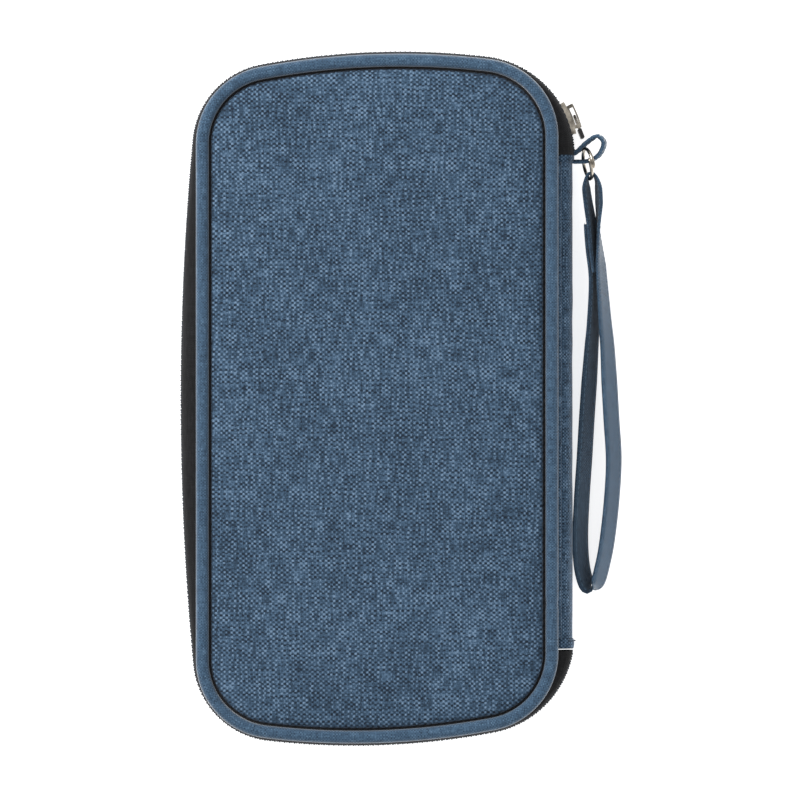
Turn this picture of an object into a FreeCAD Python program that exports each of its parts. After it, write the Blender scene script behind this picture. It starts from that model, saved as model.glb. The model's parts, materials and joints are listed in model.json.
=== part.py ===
import FreeCAD, Part
import math
import os
import Sketcher

# Zip-round travel passport holder, lying on its rear cover.
# X runs across the case (spine at +X), Y along it, +Z up through its thickness.
# The origin is the middle of the rear cover's outer face. All sizes are in millimetres.

V = FreeCAD.Vector
UP = V(0, 0, 1)

# Driving dimensions: name, value, meaning.
DIMENSIONS = (
    ("half_width", 62.5, "half of the cover's width"),
    ("half_length", 119.0, "half of the cover's length at the crown of an end arc"),
    ("end_radius", 260.0, "radius of the gently arched ends"),
    ("end_lean", 8.0, "sideways offset of the crown of each end arc"),
    ("corner_radius", 27.0, "corner radius of the cover"),
    ("binding_width", 4.7, "width of the rolled binding round each cover"),
    ("binding_base", 0.2, "height of the binding above the rest face"),
    ("binding_round", 2.1, "edge rounding of the binding"),
    ("panel_inset", 4.8, "inset of the cover panel inside the binding"),
    ("board_inset", 9.0, "inset of the foam board, clear of the sewn groove"),
    ("cover_thick", 5.5, "thickness of one cover at the binding"),
    ("gusset_height", 15.0, "height of the zipped gusset between the covers"),
    ("fabric_thick", 0.8, "outer cloth with its backing"),
    ("board_thick", 3.1, "foam board inside a cover"),
    ("lining_thick", 0.7, "lining with its backing"),
    ("tape_thick", 0.7, "zip tape"),
    ("tape_foot_inset", 3.0, "how far the tape's sewn foot reaches over the binding"),
    ("side_bulge_radius", 970.0, "radius of the bulged gusset opposite the spine"),
    ("side_bulge_reach", 66.0, "inner face of the tape at the crown of that bulge"),
    ("far_corner_radius", 27.0, "tape's corner radius on the side opposite the spine"),
    ("near_corner_radius", 32.3, "inner face of the tape at the corners by the spine"),
    ("near_corner_x", 34.0, "centre of those corners, across"),
    ("tape_end_gap", -0.9, "how far the tape stands outside the cover's end arc"),
    ("coil_thick", 1.4, "thickness of the zip coil on the tape"),
    ("coil_width", 2.5, "width of one half of the coil"),
    ("coil_gap", 0.6, "gap between the two halves of the coil"),
    ("front_split_angle", 40.0, "how far round the corner the soft tape ends reach"),
    ("fold_x", 62.8, "both fold lines of the spine"),
    ("spine_top", 85.2, "upper end of the spine panel"),
    ("spine_bottom", 86.5, "lower end of the spine panel, below the middle"),
    ("spine_bulge", 4.9, "outward bulge of the spine panel"),
    ("spine_thick", 1.1, "spine cloth with its backing"),
    ("spine_lining_thick", 0.5, "spine lining"),
    ("spine_margin", 0.4, "clearance of the spine panel from the covers"),
    ("hem_width", 3.4, "folded hem at each end of the spine"),
    ("hem_proud", 0.5, "how far a hem stands proud of the panel"),
    ("slider_angle", 21.5, "where the closed slider stands round the corner"),
    ("slider_half_angle", 9.5, "half of the slider's length, as an angle"),
    ("slider_plate", 1.0, "thickness of the slider's plates"),
    ("slider_width", 7.6, "width of the slider's plates"),
    ("slider_clear", 0.3, "clearance of the slider round tape and coil"),
    ("pull_length", 12.0, "length of the puller's black tab"),
    ("pull_width", 3.6, "width of the puller's tab"),
    ("pull_thick", 1.3, "thickness of the puller's tab"),
    ("link_length", 4.6, "length of the wire link between bridge and tab"),
    ("link_width", 4.6, "width of that link"),
    ("link_wire", 0.45, "radius of its wire"),
    ("pull_drop", 0.4, "drop of the tab's top edge below the link's"),
    ("ring_mean_radius", 5.3, "radius of the ring to the middle of its wire"),
    ("ring_wire", 0.7, "radius of the ring's wire"),
    ("ring_level", 12.0, "height of the ring's centre"),
    ("ribbon_thick", 1.3, "folded and stitched ribbon"),
    ("tab_width", 7.0, "width of the tab's ribbon"),
    ("strap_width", 7.0, "width of the wrist strap's ribbon at the ring"),
    ("strap_slope", 3.2, "how the strap slopes down to the table, in degrees"),
    ("pocket_half_width", 47.0, "half width of a passport pocket"),
    ("pocket_depth", 88.0, "depth of a passport pocket"),
    ("pocket_lower_start", -104.0, "closed end of the lower passport pocket"),
    ("pocket_upper_start", -10.0, "closed end of the upper passport pocket"),
    ("pocket_rise", 3.0, "height of a passport pocket over the lining"),
    ("pocket_cloth", 0.7, "cloth of a pocket"),
    ("pocket_seam", 3.0, "sewn margin of a pocket"),
    ("pen_loop_inner", 4.2, "inner radius of the pen loop"),
    ("pen_loop_cloth", 0.8, "elastic of the pen loop"),
    ("pen_loop_x", 54.5, "pen loop, across"),
    ("pen_loop_y", 20.0, "pen loop, along"),
    ("pen_loop_length", 24.0, "length of the pen loop"),
    ("card_half_width", 44.0, "half width of a card slot"),
    ("card_height", 44.0, "height of a card slot"),
    ("card_step", 10.0, "stagger of the card slots"),
    ("card_start", 8.0, "lower edge of the first card slot"),
    ("card_cloth", 0.8, "cloth and card gap of one slot"),
    ("coin_half_width", 50.0, "half width of the zipped coin pocket"),
    ("coin_low", -102.0, "lower edge of the coin pocket"),
    ("coin_zip_y", -14.0, "line of the coin pocket's zip"),
    ("coin_top", -4.0, "upper edge of the coin pocket"),
    ("coin_tape_half", 6.0, "half width of the coin zip's two tapes together"),
    ("coin_slider_length", 8.0, "length of the coin pocket's slider"),
    ("coin_slider_width", 6.4, "width of the coin pocket's slider"),
    ("coin_slider_x", -40.0, "where the closed coin slider stands"),
    ("coin_pull_length", 14.0, "length of the coin pocket's puller"),
)


def make_sheet(doc):
    """Writes the driving dimensions into the spreadsheet and returns it."""
    sheet = doc.addObject("Spreadsheet::Sheet", "dimensions")
    for row, (alias, value, meaning) in enumerate(DIMENSIONS, start=1):
        sheet.set(f"A{row}", alias)
        sheet.set(f"B{row}", str(value))
        sheet.setAlias(f"B{row}", alias)
        sheet.set(f"C{row}", meaning)
    doc.recompute()
    return sheet


doc = FreeCAD.newDocument("passport_holder")
sheet = make_sheet(doc)
parts = []


def size(alias):
    """The value of one driving dimension."""
    return float(sheet.get(alias))


def keep(feature, label):
    """Gives a finished sub-part its name and lists it for export."""
    feature.Label = label
    parts.append(feature)
    return feature


def angle_to(start, end):
    """Direction from one point to another, in radians from 0 to a full turn."""
    return math.atan2(end[1] - start[1], end[0] - start[0]) % (2 * math.pi)


# ---------------------------------------------------------------- the cover's outline

def end_centre(sign):
    """Centre of the arc that forms one end of the cover."""
    return (sign * size("end_lean"), sign * (size("half_length") - size("end_radius")))


def corner_centre(across, along):
    """Centre of one corner of the cover, tangent to its side and its end arc."""
    x = across * (size("half_width") - size("corner_radius"))
    middle = end_centre(along)
    reach = size("end_radius") - size("corner_radius")
    return (x, middle[1] + along * math.sqrt(reach ** 2 - (x - middle[0]) ** 2))


def sketch_arc(centre, radius, start, end):
    """One arc of a circle, anticlockwise, for a sketch."""
    circle = Part.Circle(V(centre[0], centre[1], 0), UP, radius)
    if end < start:
        end += 2 * math.pi
    return Part.ArcOfCircle(circle, start, end)


def outline_geometry(inset):
    """The eight pieces of the cover's outline, anticlockwise from the spine's side."""
    side = size("half_width") - inset
    corner = size("corner_radius") - inset
    arched = size("end_radius") - inset
    top, bottom = end_centre(1), end_centre(-1)
    right_top, left_top = corner_centre(1, 1), corner_centre(-1, 1)
    left_bottom, right_bottom = corner_centre(-1, -1), corner_centre(1, -1)
    quarters = (angle_to(top, right_top), angle_to(top, left_top),
                angle_to(bottom, left_bottom), angle_to(bottom, right_bottom))
    return [
        Part.LineSegment(V(side, right_bottom[1], 0), V(side, right_top[1], 0)),
        sketch_arc(right_top, corner, 0, quarters[0]),
        sketch_arc(top, arched, quarters[0], quarters[1]),
        sketch_arc(left_top, corner, quarters[1], math.pi),
        Part.LineSegment(V(-side, left_top[1], 0), V(-side, left_bottom[1], 0)),
        sketch_arc(left_bottom, corner, math.pi, quarters[2]),
        sketch_arc(bottom, arched, quarters[2], quarters[3]),
        sketch_arc(right_bottom, corner, quarters[3], 2 * math.pi),
    ]


def draw_outline(sketch, inset, tag):
    """Adds one closed outline to a sketch, tied to the sheet at the named inset."""
    inset_value = size(inset) if inset else 0.0
    less = f" - dimensions.{inset}" if inset else ""
    first = len(sketch.Geometry)
    sketch.addGeometry(outline_geometry(inset_value), False)
    right, left = first, first + 4
    top, bottom = first + 2, first + 6
    for side in (right, left):
        sketch.addConstraint(Sketcher.Constraint("Vertical", side))
    for step in range(8):
        following = first + (step + 1) % 8
        sketch.addConstraint(Sketcher.Constraint("Tangent", first + step, 2, following, 1))

    def tie(name, expression, *constraint):
        index = sketch.addConstraint(Sketcher.Constraint(*constraint))
        sketch.renameConstraint(index, f"{tag}_{name}")
        sketch.setExpression(f"Constraints.{tag}_{name}", expression)

    side_value = size("half_width") - inset_value
    rise_value = size("end_radius") - size("half_length")
    rise = "dimensions.end_radius - dimensions.half_length"
    tie("right", f"dimensions.half_width{less}", "DistanceX", -1, 1, right, 1, side_value)
    tie("left", f"dimensions.half_width{less}", "DistanceX", left, 1, -1, 1, side_value)
    tie("top_lean", "dimensions.end_lean", "DistanceX", -1, 1, top, 3, size("end_lean"))
    tie("low_lean", "dimensions.end_lean", "DistanceX", bottom, 3, -1, 1, size("end_lean"))
    tie("top_rise", rise, "DistanceY", top, 3, -1, 1, rise_value)
    tie("low_rise", rise, "DistanceY", -1, 1, bottom, 3, rise_value)
    for name, arc in (("top", top), ("low", bottom)):
        tie(f"{name}_arc", f"dimensions.end_radius{less}", "Radius", arc,
            size("end_radius") - inset_value)
    for corner in (1, 3, 5, 7):
        tie(f"corner_{corner}", f"dimensions.corner_radius{less}", "Radius",
            first + corner, size("corner_radius") - inset_value)


def outline_plate(label, insets, base, thick):
    """A flat layer with the cover's outline; a second inset leaves its middle out."""
    body = doc.addObject("PartDesign::Body", label)
    sketch = body.newObject("Sketcher::SketchObject", f"{label}_outline")
    plane = next(f for f in body.Origin.OriginFeatures if f.Role == "XY_Plane")
    sketch.AttachmentSupport = [(plane, "")]
    sketch.MapMode = "FlatFace"
    sketch.setExpression("AttachmentOffset.Base.z", base)
    for tag, inset in zip(("outer", "inner"), insets):
        draw_outline(sketch, inset, tag)
    pad = body.newObject("PartDesign::Pad", f"{label}_pad")
    pad.Profile = sketch
    pad.setExpression("Length", thick)
    body.Tip = pad
    doc.recompute()
    return body, pad


def level_edges(shape):
    """Names of the edges that lie in a level plane."""
    named = enumerate(shape.Edges, start=1)
    return [f"Edge{i}" for i, edge in named if edge.BoundBox.ZLength < 1e-4]


def make_binding(label, base):
    """The rolled cloth binding round one cover, rounded on all its long edges."""
    thick = "dimensions.cover_thick - dimensions.binding_base"
    body, pad = outline_plate(label, (None, "binding_width"), base, thick)
    fillet = body.newObject("PartDesign::Fillet", f"{label}_rounding")
    fillet.Base = (pad, level_edges(pad.Shape))
    fillet.setExpression("Radius", "dimensions.binding_round")
    body.Tip = fillet
    keep(body, label)


def make_cover(name, layers):
    """The three flat layers of one cover panel, each on its own base height."""
    for layer, base in layers:
        thick = {"outer_fabric": "fabric", "foam_board": "board", "lining": "lining"}[layer]
        inset = "board_inset" if layer == "foam_board" else "panel_inset"
        body, _ = outline_plate(f"{name}_{layer}", (inset,), base, f"dimensions.{thick}_thick")
        keep(body, f"{name}_{layer}")


TOTAL = "(2 * dimensions.cover_thick + dimensions.gusset_height)"
REAR_LAYERS = (
    ("outer_fabric", "0 mm"),
    ("foam_board", "dimensions.fabric_thick"),
    ("lining", "dimensions.fabric_thick + dimensions.board_thick"),
)
FRONT_LAYERS = (
    ("outer_fabric", f"{TOTAL} - dimensions.fabric_thick"),
    ("foam_board", f"{TOTAL} - dimensions.fabric_thick - dimensions.board_thick"),
    ("lining", f"{TOTAL} - dimensions.fabric_thick - dimensions.board_thick"
               " - dimensions.lining_thick"),
)
make_cover("rear", REAR_LAYERS)
make_cover("front", FRONT_LAYERS)
make_binding("rear_binding", "dimensions.binding_base")
make_binding("front_binding", "dimensions.cover_thick + dimensions.gusset_height")


# ---------------------------------------------------------------- the zipped gusset

def crossing(centre_a, reach_a, centre_b, reach_b, side):
    """The point at the given distances from two centres, on one side of their line."""
    gap = math.hypot(centre_b[0] - centre_a[0], centre_b[1] - centre_a[1])
    along = (reach_a ** 2 - reach_b ** 2 + gap ** 2) / (2 * gap)
    off = math.sqrt(reach_a ** 2 - along ** 2) * side
    ux, uy = (centre_b[0] - centre_a[0]) / gap, (centre_b[1] - centre_a[1]) / gap
    return (centre_a[0] + ux * along - uy * off, centre_a[1] + uy * along + ux * off)


def near_corner(sign):
    """Centre of the tape's corner beside the spine, at the top (1) or bottom (-1)."""
    middle = end_centre(sign)
    reach = size("end_radius") + size("tape_end_gap") - size("near_corner_radius")
    x = size("near_corner_x")
    return (x, middle[1] + sign * math.sqrt(reach ** 2 - (x - middle[0]) ** 2))


def tape_path():
    """Centres and radii of the seven arcs that the inner face of the tape follows."""
    ends = size("end_radius") + size("tape_end_gap")
    corner = size("far_corner_radius")
    bulge = size("side_bulge_radius")
    bulge_centre = (bulge - size("side_bulge_reach"), 0.0)
    top, bottom = end_centre(1), end_centre(-1)
    left_top = crossing(top, ends - corner, bulge_centre, bulge - corner, 1)
    left_bottom = crossing(bottom, ends - corner, bulge_centre, bulge - corner, -1)
    return [
        (near_corner(1), size("near_corner_radius")),
        (top, ends),
        (left_top, corner),
        (bulge_centre, bulge),
        (left_bottom, corner),
        (bottom, ends),
        (near_corner(-1), size("near_corner_radius")),
    ]


def path_angles(start, end):
    """Start and end angle of each arc; two arcs meet on the line through their centres."""
    path = tape_path()
    bounds = [start]
    for (centre, radius), (following, next_radius) in zip(path, path[1:]):
        inner, outer = (following, centre) if radius > next_radius else (centre, following)
        bounds.append(angle_to(outer, inner))
    bounds.append(end)
    return list(zip(bounds, bounds[1:]))


def tape_edges(offset, level, start, end):
    """Edges of the tape's path at one offset, anticlockwise from the upper spine end."""
    edges = []
    for (centre, radius), (first, last) in zip(tape_path(), path_angles(start, end)):
        circle = Part.Circle(V(centre[0], centre[1], level), UP, radius + offset)
        edges.append(Part.ArcOfCircle(circle, first, last).toShape())
    return edges


def end_point(edges, last):
    """First or last point of a chain of edges."""
    edge = edges[-1] if last else edges[0]
    return edge.valueAt(edge.LastParameter if last else edge.FirstParameter)


def upper_end_angle():
    """Angle at which the tape starts beside the upper end of the spine."""
    rise = size("spine_top") + size("spine_margin") - near_corner(1)[1]
    return math.asin(rise / size("near_corner_radius"))


def lower_end_angle():
    """Angle at which the tape ends beside the lower end of the spine."""
    drop = size("spine_bottom") + size("spine_margin") + near_corner(-1)[1]
    return 2 * math.pi - math.asin(drop / size("near_corner_radius"))


def wall(inner, outer, low, high, start, end):
    """A standing strip that follows the tape's path between two offsets."""
    inside = tape_edges(inner, low, start, end)
    outside = tape_edges(outer, low, start, end)
    caps = [Part.makeLine(end_point(outside, last), end_point(inside, last))
            for last in (True, False)]
    wire = Part.Wire(Part.__sortEdges__(outside + inside + caps))
    return Part.Face(wire).extrude(V(0, 0, high - low))


def outline_prism(inset, low, high):
    """The space inside the cover's outline at an inset, between two heights."""
    edges = [piece.toShape() for piece in outline_geometry(inset)]
    face = Part.Face(Part.Wire(Part.__sortEdges__(edges)))
    face.translate(V(0, 0, low))
    return face.extrude(V(0, 0, high - low))


def foot(low):
    """The sewn foot of a tape, lying on the binding round to the spine's ends."""
    thick = size("tape_thick")
    rim = tape_edges(thick, low, upper_end_angle(), lower_end_angle())
    rim.append(Part.makeLine(end_point(rim, True), end_point(rim, False)))
    plate = Part.Face(Part.Wire(Part.__sortEdges__(rim))).extrude(V(0, 0, thick))
    inside = outline_prism(size("tape_foot_inset"), low - 1, low + thick + 1)
    margin = size("spine_margin")
    length = size("spine_top") + size("spine_bottom") + 2 * margin
    reach = size("half_width") - size("tape_foot_inset") - 1
    gap = Part.makeBox(size("half_width"), length, thick + 2,
                       V(reach, -size("spine_bottom") - margin, low - 1))
    return plate.cut(inside).cut(gap)


def feature(label, shape):
    """A sub-part whose shape is built directly."""
    made = doc.addObject("Part::Feature", label)
    made.Shape = shape
    return keep(made, label)


COVER = size("cover_thick")
MIDDLE = COVER + size("gusset_height") / 2
COIL_LOW = MIDDLE - size("coil_gap") / 2
COIL_HIGH = MIDDLE + size("coil_gap") / 2
FRONT_BASE = COVER + size("gusset_height")
SPLIT = math.radians(size("front_split_angle"))
UPPER_END = upper_end_angle()
LOWER_END = lower_end_angle()


def make_gusset():
    """Both zip tapes and both halves of the coil, with the front's soft ends apart."""
    thick = size("tape_thick")
    coil = (thick, thick + size("coil_thick"))
    width = size("coil_width")
    split_end = 2 * math.pi - SPLIT
    rear = wall(0, thick, COVER, COIL_LOW, UPPER_END, LOWER_END)
    feature("rear_zip_tape", rear.fuse(foot(COVER)).removeSplitter())
    feature("rear_zip_coil", wall(*coil, COIL_LOW - width, COIL_LOW, UPPER_END, LOWER_END))
    front = wall(0, thick, COIL_HIGH, FRONT_BASE, SPLIT, split_end)
    feature("front_zip_tape", front.fuse(foot(FRONT_BASE - thick)).removeSplitter())
    feature("front_zip_coil", wall(*coil, COIL_HIGH, COIL_HIGH + width, SPLIT, split_end))
    ends = (("upper", near_corner(1), UPPER_END, SPLIT),
            ("lower", near_corner(-1), split_end, LOWER_END))
    top = FRONT_BASE - thick
    for name, centre, start, end in ends:
        tape = sector(centre, size("near_corner_radius"), thick, COIL_HIGH, top, start, end)
        teeth = sector(centre, size("near_corner_radius") + thick, size("coil_thick"),
                       COIL_HIGH, COIL_HIGH + width, start, end)
        feature(f"front_tape_end_{name}", tape.fuse(teeth).removeSplitter())


def sector(centre, radius, thick, low, high, start, end):
    """A piece of a round wall between two angles."""
    edges = []
    for reach in (radius, radius + thick):
        circle = Part.Circle(V(centre[0], centre[1], low), UP, reach)
        edges.append(Part.ArcOfCircle(circle, start, end).toShape())
    inner, outer = edges
    for angle in (start, end):
        ray = V(math.cos(angle), math.sin(angle), 0)
        base = V(centre[0], centre[1], low)
        edges.append(Part.makeLine(base + ray * radius, base + ray * (radius + thick)))
    wire = Part.Wire(Part.__sortEdges__(edges))
    return Part.Face(wire).extrude(V(0, 0, high - low))


make_gusset()


# ---------------------------------------------------------------- the spine

def spine_shell(label, low_y, high_y, outward, thick):
    """A bowed strip of the spine: an arc in section, carried along Y."""
    bottom = COVER + size("spine_margin")
    top = FRONT_BASE - size("spine_margin")
    x = size("fold_x") - size("spine_margin") / 2 + outward
    crown = size("spine_bulge")

    def arc(shift):
        start = V(x + shift, low_y, bottom)
        middle = V(x + crown + shift, low_y, MIDDLE)
        return start, Part.Arc(start, middle, V(x + shift, low_y, top)).toShape()

    start_in, inner = arc(0)
    start_out, outer = arc(thick)
    lower = Part.makeLine(start_in, start_out)
    upper = Part.makeLine(V(start_in.x, low_y, top), V(start_out.x, low_y, top))
    wire = Part.Wire(Part.__sortEdges__([inner, outer, lower, upper]))
    return feature(label, Part.Face(wire).extrude(V(0, high_y - low_y, 0)))


def make_spine():
    """Panel, lining and the folded hem at each end of the spine."""
    lining, cloth = size("spine_lining_thick"), size("spine_thick")
    low, high = -size("spine_bottom"), size("spine_top")
    hem = size("hem_width")
    shown = cloth - lining
    spine_shell("spine_lining", low + hem, high - hem, 0, lining)
    spine_shell("spine_panel", low + hem, high - hem, lining, shown)
    spine_shell("spine_hem_lower", low, low + hem, 0, cloth + size("hem_proud"))
    spine_shell("spine_hem_upper", high - hem, high, 0, cloth + size("hem_proud"))


make_spine()


# ---------------------------------------------------------------- tab, ring and wrist strap

RING_CENTRE = (73.0, 81.3)
RING_LEAN = math.radians(12.0)
TAB_LOOP = ((69.4, 85.4), (73.0, 89.4), (76.6, 90.4), (77.9, 87.0), (75.4, 82.6), (69.4, 80.4))


def ring_end(sign):
    """Middle of the ring's wire at its upper (1) or lower (-1) end, from above."""
    reach = sign * size("ring_mean_radius")
    return (RING_CENTRE[0] - reach * math.sin(RING_LEAN),
            RING_CENTRE[1] + reach * math.cos(RING_LEAN))


def smooth_edge(points, level):
    """One smooth curve through a few points at one height."""
    curve = Part.BSplineCurve()
    curve.interpolate([V(x, y, level) for x, y in points])
    return curve.toShape()


def shifted(points, distance):
    """The same run of points moved sideways, to the right of its direction."""
    moved = []
    for index, (x, y) in enumerate(points):
        before = points[max(index - 1, 0)]
        after = points[min(index + 1, len(points) - 1)]
        heading = math.atan2(after[1] - before[1], after[0] - before[0])
        moved.append((x + distance * math.sin(heading), y - distance * math.cos(heading)))
    return moved


def ribbon(points, thick, low, high):
    """A ribbon standing on its edge along a smooth run of points."""
    half = thick / 2
    near, far = shifted(points, -half), shifted(points, half)
    sides = [smooth_edge(near, low), smooth_edge(far, low)]
    caps = [Part.makeLine(V(*near[i], low), V(*far[i], low)) for i in (0, -1)]
    wire = Part.Wire(Part.__sortEdges__(sides + caps))
    return Part.Face(wire).extrude(V(0, 0, high - low))


def make_tab():
    """The cloth loop sewn into the upper end of the spine."""
    half = size("tab_width") / 2
    level = size("ring_level")
    feature("strap_tab", ribbon(TAB_LOOP, size("ribbon_thick"), level - half, level + half))


def make_ring():
    """The round wire ring that joins the tab and the strap, standing on edge."""
    ring = doc.addObject("Part::Torus", "strap_ring")
    ring.setExpression("Radius1", "dimensions.ring_mean_radius")
    ring.setExpression("Radius2", "dimensions.ring_wire")
    turn = FreeCAD.Rotation(UP, math.degrees(RING_LEAN))
    stand = FreeCAD.Rotation(V(0, 1, 0), 90)
    centre = V(RING_CENTRE[0], RING_CENTRE[1], size("ring_level"))
    ring.Placement = FreeCAD.Placement(centre, turn.multiply(stand))
    keep(ring, "strap_ring")


EYE_ROUND = 2.1
STEM_END = 50.0
HAND_OUTER = ((73.0, 52.0), (71.2, 0.0), (70.4, -56.0), (75.0, -66.4), (79.9, -58.0),
              (81.9, -18.0), (75.8, 52.0))
HAND_INNER = ((74.4, 40.0), (72.6, 0.0), (71.8, -56.0), (75.0, -64.8), (78.5, -57.4),
              (80.5, -18.0), (74.4, 40.0))


def outline_face(points, level, crowns):
    """A face bounded by arcs: each even-numbered point is the crown of an arc."""
    edges = []
    for first in range(0, len(points) - 1, 2):
        a, b, c = (V(*p, level) for p in points[first:first + 3])
        edges.append(Part.Arc(a, b, c).toShape())
    if crowns:
        edges.append(Part.makeLine(V(*points[-1], level), V(*points[0], level)))
    return Part.Face(Part.Wire(Part.__sortEdges__(edges)))


STEM_HALF = 1.4
EYE_CLEAR = 0.35
CUT_SPARE = 1.0


def make_strap():
    """The wrist strap: an eye round the ring, a sewn stem and the hand loop."""
    low = size("ring_level") - size("strap_width") / 2
    width = size("strap_width")
    eye = ring_end(-1)
    hand = outline_face(HAND_OUTER, low, True).extrude(V(0, 0, width))
    hole = outline_face(HAND_INNER, low - CUT_SPARE, False)
    hole = hole.extrude(V(0, 0, width + 2 * CUT_SPARE))
    stem_left = HAND_OUTER[0][0]
    stem_right = HAND_OUTER[-1][0]
    foot_y = STEM_END + CUT_SPARE
    corners = [V(stem_left, foot_y, low), V(stem_right, foot_y, low),
               V(eye[0] + STEM_HALF, eye[1], low), V(eye[0] - STEM_HALF, eye[1], low)]
    stem = Part.Face(Part.makePolygon(corners + corners[:1])).extrude(V(0, 0, width))
    round_eye = Part.makeCylinder(EYE_ROUND, width, V(eye[0], eye[1], low))
    strap = hand.cut(hole).fuse([stem, round_eye]).removeSplitter()
    pivot = V(eye[0], eye[1], size("ring_level"))
    strap.rotate(pivot, V(1, 0, 0), size("strap_slope"))
    clear = size("ring_wire") + EYE_CLEAR
    bore = Part.makeTorus(size("ring_mean_radius"), clear)
    bore.Placement = FreeCAD.Placement(
        V(RING_CENTRE[0], RING_CENTRE[1], size("ring_level")),
        FreeCAD.Rotation(UP, math.degrees(RING_LEAN)).multiply(
            FreeCAD.Rotation(V(0, 1, 0), 90)))
    slot = Part.makeCylinder(clear, 3 * width, V(eye[0], eye[1], low - width))
    feature("wrist_strap", strap.cut(bore).cut(slot))


make_tab()
make_ring()
make_strap()


# ---------------------------------------------------------------- the main zip's slider

def slider_sector(inner, outer, low, high, half):
    """A piece of the closed slider, curved like the corner that it runs round."""
    middle = math.radians(size("slider_angle"))
    reach = math.radians(half)
    return sector(near_corner(1), inner, outer - inner, low, high,
                  middle - reach, middle + reach)


FLANGE_LIP = 0.3
MERGE = 0.1
POST_SHARE = 1 / 3
BRIDGE_ARCH = 2.4
BRIDGE_HALF = 1.3
BRIDGE_WALL = 0.55
BRIDGE_SHARE = 0.7
BRIDGE_HOLE_SHARE = 0.72


def make_slider():
    """Body, bridge and lock spring of the main slider."""
    clear = size("slider_clear")
    plate = size("slider_plate")
    half = size("slider_half_angle")
    tape_in = size("near_corner_radius")
    tape_out = tape_in + size("tape_thick")
    coil_out = tape_out + size("coil_thick")
    low = MIDDLE - size("slider_width") / 2
    high = MIDDLE + size("slider_width") / 2
    outer_in, outer_out = coil_out + clear, coil_out + clear + plate
    inner_out, inner_in = tape_in - clear, tape_in - clear - plate
    body = slider_sector(inner_in, inner_out, low, high, half)
    flange = clear + FLANGE_LIP
    pieces = [slider_sector(outer_in, outer_out, low, high, half)]
    for edge in (low, high - flange):
        pieces.append(slider_sector(tape_out + clear, outer_in + MERGE, edge, edge + flange, half))
    post = size("coil_gap") / 4
    pieces.append(slider_sector(inner_out - MERGE, outer_in + MERGE, MIDDLE - post, MIDDLE + post,
                                half * POST_SHARE))
    feature("slider_body", body.fuse(pieces).removeSplitter())
    half_arch = half * BRIDGE_SHARE
    top = outer_out + BRIDGE_ARCH
    bridge = slider_sector(outer_out, top, MIDDLE - BRIDGE_HALF, MIDDLE + BRIDGE_HALF, half_arch)
    hollow = slider_sector(outer_out + BRIDGE_WALL, top - BRIDGE_WALL, MIDDLE - BRIDGE_ARCH,
                           MIDDLE + BRIDGE_ARCH, half_arch * BRIDGE_HOLE_SHARE)
    feature("slider_bridge", bridge.cut(hollow))
    return outer_out + BRIDGE_ARCH / 2


PULL_ROUND = 0.4


def make_puller(pivot_radius):
    """The main puller: a wire link through the bridge and a black tab that hangs from it."""
    wire, wide, long = size("link_wire"), size("link_width"), size("link_length")
    link = Part.makeCylinder(wire, wide, V(0, 0, -wide / 2))
    arms = []
    for side in (-1, 1):
        z = side * (wide / 2 - wire)
        arms.append(Part.makeBox(2 * wire, long, 2 * wire, V(-wire, -long, z - wire)))
    link = link.fuse(arms).removeSplitter()
    thick, tab_width = size("pull_thick"), size("pull_width")
    tab = Part.makeBox(thick, tab_width, size("pull_length"),
                       V(-thick / 2, -long - tab_width, wide / 2 - size("pull_drop") - size("pull_length")))
    tab = tab.makeFillet(PULL_ROUND, [e for e in tab.Edges if e.BoundBox.ZLength > tab_width])
    centre = near_corner(1)
    angle = math.radians(size("slider_angle"))
    pivot = V(centre[0] + pivot_radius * math.cos(angle),
              centre[1] + pivot_radius * math.sin(angle), MIDDLE)
    for label, shape in (("pull_link", link), ("pull_tab", tab)):
        shape.rotate(V(0, 0, 0), UP, size("slider_angle"))
        shape.translate(pivot)
        feature(label, shape)
    return pivot


PIVOT = make_puller(make_slider())


# ---------------------------------------------------------------- inside the rear cover

REAR_FACE = size("fabric_thick") + size("board_thick") + size("lining_thick")
FRONT_FACE = 2 * COVER + size("gusset_height") - REAR_FACE


def make_passport_pocket(label, start):
    """A flat pocket open at its upper end, sewn down along its other three sides."""
    half, depth = size("pocket_half_width"), size("pocket_depth")
    rise, cloth, seam = size("pocket_rise"), size("pocket_cloth"), size("pocket_seam")
    outer = Part.makeBox(2 * half, depth, rise, V(-half, start, REAR_FACE))
    inner = Part.makeBox(2 * (half - seam), depth, rise - cloth,
                         V(seam - half, start + seam, REAR_FACE))
    feature(label, outer.cut(inner))


def make_pen_loop():
    """A tube of elastic for a pen, beside the passport pockets."""
    inner = size("pen_loop_inner")
    outer = inner + size("pen_loop_cloth")
    base = V(size("pen_loop_x"), size("pen_loop_y"), REAR_FACE + outer)
    along = V(0, 1, 0)
    tube = Part.makeCylinder(outer, size("pen_loop_length"), base, along)
    hole = Part.makeCylinder(inner, size("pen_loop_length"), base, along)
    feature("pen_loop", tube.cut(hole))


make_passport_pocket("passport_pocket_lower", size("pocket_lower_start"))
make_passport_pocket("passport_pocket_upper", size("pocket_upper_start"))
make_pen_loop()


# ---------------------------------------------------------------- inside the front cover

def make_box(label, low, sides):
    """A plain flat piece, tied to the sheet by its expressions."""
    made = doc.addObject("Part::Box", label)
    for name, expression in zip(("Length", "Width", "Height"), sides):
        made.setExpression(name, expression)
    for axis, expression in zip("xyz", low):
        made.setExpression(f"Placement.Base.{axis}", expression)
    return keep(made, label)


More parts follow.
